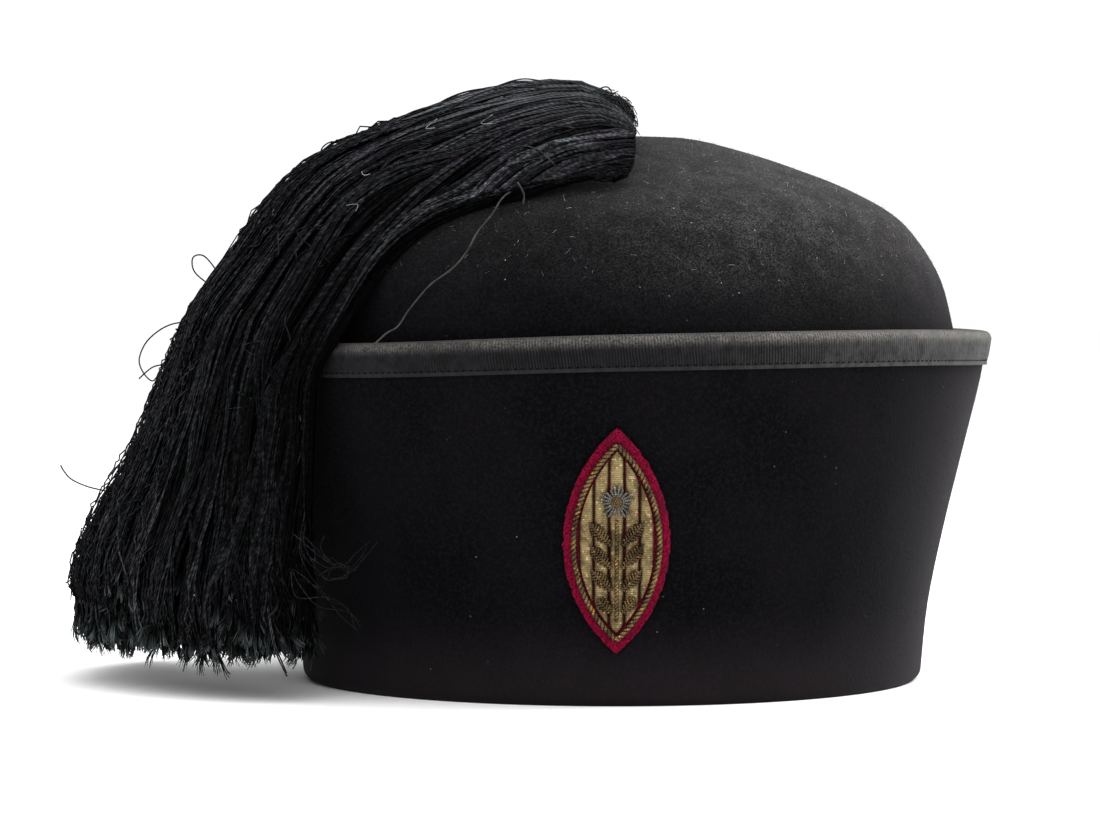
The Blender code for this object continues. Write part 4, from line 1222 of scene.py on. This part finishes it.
def lay_threads(seed, count):
    """A share of the skein: clumped threads from their loops at the head to their cut ends."""
    rng = np.random.default_rng(seed)
    clump_rng = np.random.default_rng(5)
    spots = np.concatenate((np.linspace(0, 0.945, BODY_STEPS + 1)[1:], END_SPOTS))
    clumps = LOWER_CLUMPS + UPPER_CLUMPS
    clump_across = np.concatenate([(np.arange(lanes) + clump_rng.uniform(0, 1, lanes)) / lanes * width
                                   for lanes, width in ((LOWER_CLUMPS, LOBE_SPLIT), (UPPER_CLUMPS, 1.0))])
    clump_lift = clump_rng.uniform(-0.20, 0.12, clumps)
    clump_length = clump_rng.uniform(-0.010, 0.006, clumps)
    clump_drift = clump_rng.normal(0, 0.035, clumps)
    clump_tone = clump_rng.uniform(0.45, 1.0, clumps)
    clump_sway = slow_wander(clump_rng, clumps, spots, 3)
    clump_heave = slow_wander(clump_rng, clumps, spots, 3)

    cords = count // THREADS_TO_CORD
    cord = np.repeat(np.arange(cords), THREADS_TO_CORD)
    lower = (rng.random(cords) < LOWER_SHARE)[cord]
    clump = np.where(lower, rng.integers(0, LOWER_CLUMPS, cords)[cord],
                     rng.integers(LOWER_CLUMPS, clumps, cords)[cord])
    nest = rng.uniform(0.0, 1.0, cords)[cord] ** 0.7
    buried = (rng.random(cords) < 0.15)[cord]
    depth = np.where(buried, 0.36 - 0.34 * nest, 0.40 + 0.60 * nest)
    depth = np.where(lower, 0.62 + 0.38 * nest, depth) + rng.normal(0, 0.012, count)
    across = clump_across[clump] + rng.normal(0, 0.011, cords)[cord] + rng.normal(0, 0.0022, count)
    across = np.clip(across, 0.004, 0.996)
    across = np.where(lower, np.minimum(across, LOBE_SPLIT), across)
    back = ramp(across, 0.50, 0.15)
    left = ramp(across, 0.35, 0.25) * (1 - back)
    early = np.where(rng.random(cords)[cord] < 0.3 + 0.4 * left, 0.5 * (1 + 1.2 * left), 0.08)
    hang = 0.48 + 0.06 * left + 0.32 * back + 0.18 * np.exp(-((across - 0.25) / 0.10) ** 2)
    cut = hang - rng.exponential(early)
    end = HEM_ALONG + (1 - HEM_ALONG) * np.maximum(cut, -1.6) + clump_length[clump]

    inner = across / LOBE_SPLIT
    nose = 0.012 * (1 - inner) ** 4 - 0.005 * np.sin(math.pi * np.minimum(inner, 1))
    reach = 0.05 + 0.21 * inner
    arc = nose[:, None] + reach[:, None] * HEAD_SHARES
    drop = EDGE_ACROSS + (across[:, None] - EDGE_ACROSS) * (1 - HEAD_SHARES ** 1.8)
    loosened = np.sin(math.pi * HEAD_SHARES)
    loop_along = np.where(lower[:, None], arc, HEAD_SPOTS)
    loop_across = np.where(lower[:, None], drop, parted(across[:, None], HEAD_SPOTS))
    loop_across += 0.014 * slow_wander(rng, cords, HEAD_SHARES, 3)[cord] * loosened
    loop_depth = depth[:, None] + 0.07 * slow_wander(rng, cords, HEAD_SHARES, 2)[cord] * loosened
    loop_along[lower, 0] = HEAD_SPOTS[0]
    loop_depth[lower, 0] *= 0.5

    start = loop_along[:, -1]
    body_along = start[:, None] + (end - start)[:, None] * spots
    grow = np.minimum(spots * 4, 1.0)
    low = ramp(spots, RIM_ALONG, 1 - RIM_ALONG)
    gather = 1 - 0.5 * ramp(spots, 0.7, 0.3)
    own_across = (across - clump_across[clump])[:, None] * gather + clump_across[clump][:, None]
    edge_lane = EDGE_ACROSS + LOBE_EDGE * own_across / LOBE_SPLIT * np.clip(spots - 0.15, 0, 0.5) / 0.5
    body_across = (np.where(lower[:, None], edge_lane, parted(own_across, body_along))
                   + 0.026 * clump_sway[clump] * grow
                   + clump_drift[clump][:, None] * np.sin(math.pi * spots)
                   + 0.012 * slow_wander(rng, cords, spots, 5)[cord] * (grow + 0.3 * low)
                   + 0.004 * slow_wander(rng, count, spots, 6) * grow
                   + rng.normal(0, 0.0024, (count, len(spots))) * (0.4 + low))
    body_across = EDGE_ACROSS + np.abs(body_across - EDGE_ACROSS)
    body_across = np.minimum(body_across, 0.996)
    lens = np.clip(np.sqrt(4 * body_across * (1 - body_across)), 0.4, 1.0)
    over = -0.75 * lower[:, None] * ramp(spots, 0.02, 0.12) * np.clip((0.6 - spots) / 0.2, 0, 1)
    heave = 0.10 * clump_heave[clump] + 0.06 * slow_wander(rng, cords, spots, 5)[cord]
    lift = (clump_lift[clump][:, None] + heave) * grow + rng.normal(0, 0.018, (count, len(spots))) * low
    tucked_in = 1 - HEM_TUCK * ramp(body_along, 0.86, 0.14) ** 1.5
    body_depth = np.clip(depth[:, None] + over + lift / lens, 0.02, 1.0 + 0.07 / lens) * tucked_in
    stray = (rng.random(count) < 0.12) * rng.uniform(0.03, 0.22, count)
    body_depth += stray[:, None] * low * np.abs(slow_wander(rng, count, spots, 4))

    places = in_bed(*(np.concatenate(parts, 1) for parts in (
        (loop_across, body_across), (loop_along, body_along), (loop_depth, body_depth))))
    share = np.clip((HEAD_CREASE.x - places[..., 0]) / HEAD_REACH, 0, 1)
    rounded = np.sqrt(1 - (1 - share) ** 2)
    rounded[:, 0] *= HEAD_TUCK
    rounded[lower] = 1.0
    places[..., 2] = HEAD_CREASE.z + (places[..., 2] - HEAD_CREASE.z) * rounded
    places[..., 1] = HEAD_CREASE.y + (places[..., 1] - HEAD_CREASE.y) * (0.5 + 0.5 * rounded)
    loose = np.concatenate((np.zeros(len(HEAD_SPOTS)), ramp(spots, 0.8, 0.2) ** 2))[None, :, None]
    places += loose * rng.normal(0, 1.0 * MM, (count, 1, 3)) + loose * rng.normal(0, 0.3 * MM, places.shape)
    places[..., 2] = np.maximum(places[..., 2], ENDS_HIGH)

    swell = np.ones(places.shape[1])
    swell[-len(END_SWELL):] = END_SWELL
    thick = THREAD_RADIUS * rng.uniform(0.82, 1.15, count)
    own_tone = clump_tone[clump] * (1 - 0.92 * rng.uniform(0, 1, cords)[cord] ** 0.7)
    own_tone = own_tone * rng.uniform(0.85, 1.0, count)
    # Painted shade: threads darken towards the skein's front edge, and the lower lobe's near the head.
    edge_shade = 0.15 + 0.85 * np.minimum(body_across / 0.25, 1.0)
    edge_shade = 1 + (edge_shade - 1) * ramp(spots, 0.3, 0.2)
    edge_shade[lower] *= np.clip(spots / 0.5, 0.35, 1.0)
    # Painted shade: threads deep inside the skein are darker.
    sunk_shade = np.clip((body_depth / tucked_in - 0.66) / 0.30, 0.2, 1.0)
    # Painted shade down the hanging part, easing off towards the cut ends and towards the back.
    hang_shade = 1 - 0.45 * ramp(spots, 0.1, 0.35)
    hang_shade *= 1 + 1.1 * ramp(spots, 0.74, 0.26)
    hang_shade = hang_shade * (1 + 0.45 * ramp(across[:, None], 0.24, 0.16))
    # Painted shade rounds the two lobes at the head, darker towards their front edges.
    lobe_shade = np.where(lower, np.clip(2.0 * inner - 0.1, 0.2, 1.3), np.clip(0.5 + 2.0 * across, 0.5, 1.0))
    loop_shade = lobe_shade[:, None] * np.linspace(0.8, 1.0, len(HEAD_SPOTS))
    lobe_shade_fading = 1 + (lobe_shade[:, None] - 1) * np.clip(1 - spots / 0.15, 0, 1)
    tones = np.concatenate((loop_shade, lobe_shade_fading * edge_shade * sunk_shade * hang_shade), 1)
    return [Wire(*row) for row in zip(places, thick[:, None] * swell, own_tone[:, None] * tones)]


def twisted_thread():
    """Two-ply mercerised thread: violet-black, dull and grey-green near its cut end, with painted shade
    between its plies, painted glints, and painted light on faces turned up, to the front or to the back
    and on the top of the tassel's head.
    """
    material, tree, shader = new_material("black_twisted_thread")
    coordinates = add_node(tree, COORDINATES)
    place = coordinates.outputs["Object"]
    spot = add_node(tree, SPLIT, {0: place})
    way = add_node(tree, SPLIT, {0: coordinates.outputs["UV"]})
    tone = add_node(tree, ATTRIBUTE, attribute_name="tone").outputs["Fac"]
    length = add_node(tree, ATTRIBUTE, attribute_name="length").outputs["Fac"]
    # Painted shade between the two plies of the twist.
    around = add_node(tree, MATH, {0: way.outputs["Y"], 1: 4 * math.pi}, **TIMES)
    twist = add_node(tree, MATH, {0: length, 1: 2 * math.pi / THREAD_PITCH, 2: around}, **TIMES_PLUS)
    wave = add_node(tree, MATH, {0: twist}, operation="SINE")
    ply = add_node(tree, RANGE, {0: wave, 1: -0.8, 2: 0.8, 3: 0.40}, **SMOOTH)
    # Painted glints: lighter dashes along the threads.
    glints = add_node(tree, NOISE,
                      {"Vector": place, "Scale": 1 / (1.6 * MM), "Detail": 3.0, "Roughness": 0.6})
    gleam = add_node(tree, RANGE, {0: glints, 1: 0.40, 2: 0.66}, **SMOOTH)
    shades = add_node(tree, NOISE, {"Vector": place, "Scale": 1 / (14 * MM)})
    greener = add_node(tree, RANGE, {0: shades, 1: 0.42, 2: 0.58}, **SMOOTH)
    bright = add_node(tree, MIX, {0: greener, 6: "#68646e", 7: "#626a6b"}, **COLOUR)
    strand = add_node(tree, MIX, {0: gleam, 6: "#353239", 7: bright}, **COLOUR)
    # Painted light: the top of the tassel's head is lightened towards grey, as if lit from above.
    high = add_node(tree, RANGE, {0: spot.outputs["Z"], 1: 146 * MM, 2: 158 * MM}, **SMOOTH)
    crest = add_node(tree, RANGE, {0: spot.outputs["X"], 1: -75 * MM, 2: -35 * MM, 4: 0.55}, **SMOOTH)
    head_top_light = add_node(tree, MATH, {0: high, 1: crest}, **TIMES)
    head_top_lit = add_node(tree, MIX, {0: head_top_light, 6: strand, 7: "#6b6f72"}, **COLOUR)
    cut = add_node(tree, RANGE, {0: length, 1: 9 * MM, 2: 3 * MM, 4: 0.75}, **SMOOTH)
    frayed = add_node(tree, MIX, {0: cut, 6: head_top_lit, 7: "#3b3f3f"}, **COLOUR)
    # Painted light: faces turned up, to the front or to the back are lit; those turned down or sideways are
    # darker.
    normal = add_node(tree, "ShaderNodeNewGeometry").outputs["Normal"]
    sideways = add_node(tree, "ShaderNodeVectorMath", {0: normal}, operation="ABSOLUTE").outputs["Vector"]
    outward = add_node(tree, "ShaderNodeVectorMath",
                       {0: sideways, 1: (0.15, 0.7, 0.0)}, operation="DOT_PRODUCT")
    upward = add_node(tree, SPLIT, {0: normal}).outputs["Z"]
    facing = add_node(tree, MATH, {0: upward, 1: 0.7, 2: outward.outputs["Value"]}, **TIMES_PLUS)
    facing_light = add_node(tree, RANGE, {0: facing, 1: 0.1, 2: 0.95, 3: 0.18}, **SMOOTH)
    lit = 1.0
    for factor in (ply, tone, facing_light):
        lit = add_node(tree, MATH, {0: lit, 1: factor}, **TIMES)
    colour = add_node(tree, MIX, {0: lit, 6: "#020202", 7: frayed}, **COLOUR)
    relief = add_node(tree, BUMP, {"Height": ply, "Strength": 0.6, "Distance": 0.16 * MM})
    set_inputs(tree, shader, {"Base Color": colour, "Normal": relief, "Roughness": 0.5,
                              "Specular IOR Level": 0.01})
    return material


THREAD = twisted_thread()
thread_ends = []
for number in range(1, THREAD_PIECES + 1):
    threads = lay_threads(100 + number, THREADS_TO_PIECE)
    thread_ends += [(thread.points[-len(END_SPOTS):], thread.tones[-1]) for thread in threads]
    nodes = ("tassel",) if number == 1 else ()
    skein = sweep(f"threads_{number}", threads, 3)
    finish_piece(f"tassel_threads_{number}", skein, THREAD, "black_thread", *nodes)


# The tassel: frayed ends
# Below its last twist each cut thread opens into a brush of fine, slightly curly fibres. Here only a third
# of the threads have a brush, and its few fibres are thicker than real ones, to save triangles.

FIBRES = 8
FIBRE_RADIUS = 0.135 * MM
FIBRE_LENGTH = 7.0 * MM
FIBRE_SPREAD = 0.09
FIBRE_SWELL = np.array((1.0, 1.1, 1.0, 0.6))
FLOOR_GAP = 0.8 * MM


def fray_wires():
    rng = np.random.default_rng(41)
    wires = []
    shares = np.linspace(0, 1, 4)[:, None]
    for ends, tone in thread_ends[::3]:
        run = ends[-1] - ends[0]
        run /= np.linalg.norm(run) + 1e-9
        lean = rng.normal(0, 0.3, 3)
        bow = rng.normal(0, 1.1 * MM, 3)
        root = ends[-1] - run * rng.uniform(3.5, 6.5) * MM
        bright = min(0.12 + 3.2 * tone * rng.uniform(0.4, 1.6), 1.1)
        for _ in range(FIBRES):
            aim = run + lean + rng.normal(0, FIBRE_SPREAD, 3)
            aim /= np.linalg.norm(aim)
            start = root + rng.normal(0, 0.22 * MM, 3)
            points = start + aim * FIBRE_LENGTH * rng.uniform(0.85, 1.05) * shares
            points += (bow + rng.normal(0, 0.15 * MM, 3)) * np.sin(shares * 2.4)
            points[:, 2] = np.maximum(points[:, 2], FLOOR_GAP)
            wires.append(Wire(points, FIBRE_RADIUS * FIBRE_SWELL, bright * rng.uniform(0.25, 1.2)))
    return wires


def frayed_fibre():
    """Untwisted fibres: dull, dark with a green-grey cast, paler towards their tips."""
    material, tree, shader = new_material("frayed_fibre")
    tone = add_node(tree, ATTRIBUTE, attribute_name="tone").outputs["Fac"]
    length = add_node(tree, ATTRIBUTE, attribute_name="length").outputs["Fac"]
    middle = add_node(tree, RANGE, {0: length, 1: 6 * MM, 2: 3 * MM}, **SMOOTH)
    dulled = add_node(tree, MATH, {0: middle, 1: tone}, **TIMES)
    opened = add_node(tree, MIX, {0: dulled, 6: "#050506", 7: "#2b3031"}, **COLOUR)
    tip = add_node(tree, RANGE, {0: length, 1: 3.5 * MM, 2: 0.5 * MM}, **SMOOTH)
    paler = add_node(tree, MATH, {0: tip, 1: tone}, **TIMES)
    colour = add_node(tree, MIX, {0: paler, 6: opened, 7: "#5d6464"}, **COLOUR)
    set_inputs(tree, shader, {"Base Color": colour, "Roughness": 0.75, "Specular IOR Level": 0.03})
    return material


finish_piece("tassel_frayed_ends", sweep("fray", fray_wires(), 3), frayed_fibre(), "black_thread")


# The tassel: flyaway threads
# Loops and strays that have worked out of the skein, kinked strands loose on its outer side, pale lint on
# it, and one thread that lies over the crown to the bound edge, with a short one beside it.

FLYAWAY_RADIUS = 0.2 * MM
LINT_RADIUS = 0.1 * MM
FLYAWAY_STEPS = 5
FLYAWAYS = (
    ((-32, -28, 160), (-29.4, -28, 162), (-25, -28, 163.2), (-21.6, -28, 163.1), (-18, -28, 162.2),
     (-14, -28, 160)),
    ((-5, -24, 158), (-3.6, -24, 160.6), (-1.5, -24, 161.2), (-0.3, -24, 159.6), (-1.6, -24, 158.6),
     (-3.2, -25, 158)),
    ((-71, -20, 143), (-75.5, -20, 146.5), (-79, -20, 144.5), (-78, -20, 141), (-76.5, -22, 138)),
    ((-106, 0, 106.5), (-109.5, 0, 112.5), (-112.5, 0, 115.6), (-115.2, 0, 115), (-115, 0, 111.5),
     (-112, 0, 108.5), (-108, 2, 106)),
    ((-113, 0, 96.5), (-118, 0, 97.2), (-123, 0, 95.9), (-128, 2, 92), (-130.2, 2, 87), (-129, 2, 83.2),
     (-126.5, 2, 81), (-124.6, 2, 83.5)),
    ((-118, 5, 90), (-123, 5, 86), (-127, 6, 84.6), (-130.6, 6, 81.5)),
    ((-138, 0, 50.5), (-144, -2, 52), (-148.5, -2, 54), (-150.6, -2, 56.2), (-151.6, -2, 58)),
    ((-143, 5, 27), (-148, 5, 26.4), (-151, 5, 25)),
    ((-91, -90, 34), (-90, -94, 24), (-88.6, -96.5, 16), (-87, -96.8, 11.4), (-84.9, -97, 7.2)),
    ((-90.4, -91, 31), (-89.4, -94.6, 22), (-88, -97, 15.4), (-86.4, -96.6, 11.2), (-85, -97, 8)),
)
TUFT_COPIES = 4
TUFT_JITTER = 1.3
TUFT = (
    ((-81, -92, 46), (-79.5, -97, 39), (-75.6, -99, 32.4), (-71.8, -99, 33.2), (-67.6, -98, 36.8),
     (-62.6, -96, 42)),
    ((-80, -95, 42), (-76.6, -99, 39.6), (-72.6, -101, 36.2), (-68, -101, 35.4)),
    ((-84, -92, 33), (-80, -98, 31), (-74, -100, 27.6), (-69.4, -98.5, 23.6), (-65.8, -97, 19.6)),
)
HEAD_TUFT = ((-6, -40, 159.0), (-1, -40, 158.6), (2.6, -41, 156.6), (4.6, -42, 152.2), (5.2, -44, 148.4))
HEAD_TUFT_FIBRES = 150
OUTER_STRAYS = 110
LINT_HAIRS = 14
LOOSE_STRANDS = 200
LOOSE_RADIUS = 0.26 * MM
LOOSE_STEP = 1.6 * MM
SKEIN_LENGTH = 190.0 * MM
STRAY = ((-20, -84, 136.0), (-28.4, -88, 131.6), (-32, -92, 126.4), (-35.8, -96, 121.7),
         (-38.2, -98, 117.2), (-41.8, -98.2, 112.8), (-47, -97.2, 109), (-50, -96, 106),
         (-53.6, -95.4, 101.5), (-56.2, -97.5, 97.6), (-59, -99.8, 95.9), (-62.2, -100.4, 93))
SHORT_STRAY = ((-25.4, -88, 134.8), (-23.8, -90, 131.8), (-24.0, -90, 129.2))
STRAY_RADIUS = 0.23 * MM


Place = namedtuple("Place", "x y z")


def smooth_path(places):
    """Points on the smooth curve through some places."""
    return [Vector(point) for point in smooth_rows([Place(*place) for place in places], FLYAWAY_STEPS)]


def thin_thread(places, radius, tone=1.0):
    """A thread through some places, which are given in millimetres."""
    return Wire([point * MM for point in smooth_path(places)], radius, tone)


def flyaway_wires():
    rng = np.random.default_rng(77)
    wires = [thin_thread(places, FLYAWAY_RADIUS, 0.45) for places in FLYAWAYS]
    for places in TUFT * TUFT_COPIES:
        moved = [Vector(place) + Vector(rng.normal(0, TUFT_JITTER, 3)) for place in places]
        wires.append(thin_thread(moved, FLYAWAY_RADIUS * 0.85, 0.2))
    tuft = smooth_path(HEAD_TUFT)
    for _ in range(HEAD_TUFT_FIBRES):
        index = rng.integers(0, len(tuft) - 4)
        start = tuft[index] + Vector(rng.normal(0, (0.6, 3.0, 0.6)))
        aim = (tuft[index + 4] - tuft[index]).normalized() * rng.uniform(2.0, 5.0)
        aim += Vector(rng.normal(0, 0.7, 3))
        bow = Vector(rng.normal(0, 0.5, 3))
        points = [(start + aim * share + bow * share * (1 - share) * 4) * MM
                  for share in (0.0, 0.25, 0.5, 0.75, 1.0)]
        wires.append(Wire(points, FLYAWAY_RADIUS * 0.6, rng.uniform(0.2, 1.0)))
    for _ in range(OUTER_STRAYS):
        shares = np.linspace(0, 1, 16)
        start = rng.uniform(0.08, 0.7)
        sway = rng.normal(0, 0.03) * np.sin(math.pi * shares * rng.uniform(0.5, 1.5))
        along = start + rng.uniform(0.03, 0.12) * shares
        depth = 0.97 + rng.uniform(0.02, 0.14) * np.sin(math.pi * shares)
        radius = THREAD_RADIUS * rng.uniform(0.4, 0.8)
        points = in_bed(rng.uniform(0.03, 0.97) + sway, along, depth)
        wires.append(Wire(points, radius, rng.uniform(0.1, 0.4)))
    return wires


def loose_wires():
    """Kinked strands pulled a little way out of the skein's outer side."""
    rng = np.random.default_rng(63)
    wires = []
    for _ in range(LOOSE_STRANDS):
        steps = rng.integers(12, 40)
        shares = np.linspace(0, 1, steps)
        start = rng.uniform(0.26, 0.82)
        along = start + min(steps * LOOSE_STEP / SKEIN_LENGTH, 0.93 - start) * shares
        sway = rng.normal(0, 0.05) * np.sin(math.pi * shares * rng.uniform(0.5, 1.5))
        depth = 0.97 + rng.uniform(0.02, 0.24) * np.sin(math.pi * shares) ** 0.5
        points = in_bed(rng.triangular(0.35, 0.6, 0.8) + sway, along, depth)
        points += rng.normal(0, rng.uniform(0.15, 0.45) * MM, (steps, 3))
        points[:, 2] = np.maximum(points[:, 2], ENDS_HIGH)
        wires.append(Wire(points, LOOSE_RADIUS * rng.uniform(0.7, 1.1), rng.uniform(0.1, 0.5)))
    return wires


def lint_wires():
    """Short pale hooked fibres that lie on the skein."""
    rng = np.random.default_rng(12)
    wires = []
    for _ in range(LINT_HAIRS):
        shares = np.linspace(0, 1, 8)
        reach = rng.uniform(0.004, 0.014) * rng.choice((-1, 1))
        hook = rng.uniform(0.01, 0.03) * rng.choice((-1, 1))
        across = rng.uniform(0.05, 0.95) + hook * shares ** 2
        along = rng.uniform(0.1, 0.8) + reach * np.sin(shares * rng.uniform(1.5, 4.0))
        wires.append(Wire(in_bed(across, along, 1.02 + 0.08 * shares), LINT_RADIUS))
    return wires


def stray_wires():
    """A thin thread that lies down the crown's front and over the bound edge, and a short one beside it."""
    return [thin_thread(path, STRAY_RADIUS) for path in (STRAY, SHORT_STRAY)]


finish_piece("tassel_flyaways", sweep("flyaways", flyaway_wires(), 4), THREAD, "black_thread")
finish_piece("tassel_loose_strands", sweep("loose_strands", loose_wires(), 3), THREAD, "black_thread")
finish_piece("tassel_lint", sweep("tassel_lint_wires", lint_wires(), 3), LINT, "black_thread")
finish_piece("tassel_stray_thread", sweep("stray", stray_wires(), 5),
             dull_fibre("dusty_thread", "#1f1e1e", "#3b3937"), "black_thread")


# The table, the light and the camera
# A white table and a white surround under broad soft light. The camera looks almost level at the badge side,
# from about 1.5 m away and a little above the middle of the hat.

CAMERA_PLACE = Vector((-17.0, -1541.0, 120.4)) * MM
CAMERA_TILT = math.radians(1.785)
CAMERA_LENS = 183.3
CAMERA_SENSOR = 36.0
CAMERA_REACH = 50.0
TABLE_HALF_SIZE = 6.0
LIT_POINT = Vector((0, 0, 0.07))
SURROUND_WHITE = (1.0, 1.0, 1.0, 1.0)
SURROUND_STRENGTH = 1.05


def white_card():
    """Matt white card, with a very faint unevenness."""
    material, tree, shader = new_material("white_card")
    place = add_node(tree, COORDINATES).outputs["Object"]
    uneven = add_node(tree, NOISE, {"Vector": place, "Scale": 1 / (60 * MM), "Detail": 3.0})
    colour = add_node(tree, MIX, {0: uneven, 6: "#fbfbfb", 7: "#ffffff"}, **COLOUR)
    set_inputs(tree, shader, {"Base Color": colour, "Roughness": 0.9, "Specular IOR Level": 0.1})
    return material


def area_light(name, place, size, power):
    """A square soft light that faces the hat."""
    data = bpy.data.lights.new(name, "AREA")
    data.size = size
    data.energy = power
    light = add_object(name, data)
    light.location = place
    light.rotation_mode = "QUATERNION"
    light.rotation_quaternion = (LIT_POINT - light.location).to_track_quat("-Z", "Y")


table_bm = bmesh.new()
bmesh.ops.create_grid(table_bm, x_segments=1, y_segments=1, size=TABLE_HALF_SIZE)
table_mesh = mesh_of("table", table_bm)
table_mesh.materials.append(white_card())
add_object("table", table_mesh)

area_light("top_light", Vector((0.15, 0.0, 1.3)), size=1.2, power=12.0)
area_light("right_light", Vector((0.95, 0.35, 0.85)), size=1.0, power=16.0)
area_light("front_light", Vector((0.1, -1.5, 0.9)), size=1.2, power=12.0)

world = bpy.data.worlds.new("white_surround")
world.use_nodes = True
set_inputs(world.node_tree, world.node_tree.nodes["Background"],
           {"Color": SURROUND_WHITE, "Strength": SURROUND_STRENGTH})
bpy.context.scene.world = world
bpy.context.scene.view_settings.view_transform = "Standard"

camera_data = bpy.data.cameras.new("camera")
camera_data.lens = CAMERA_LENS
camera_data.sensor_width = CAMERA_SENSOR
camera_data.clip_end = CAMERA_REACH
camera = add_object("camera", camera_data)
camera.location = CAMERA_PLACE
camera.rotation_euler = (math.pi / 2 - CAMERA_TILT, 0.0, 0.0)
bpy.context.scene.camera = camera
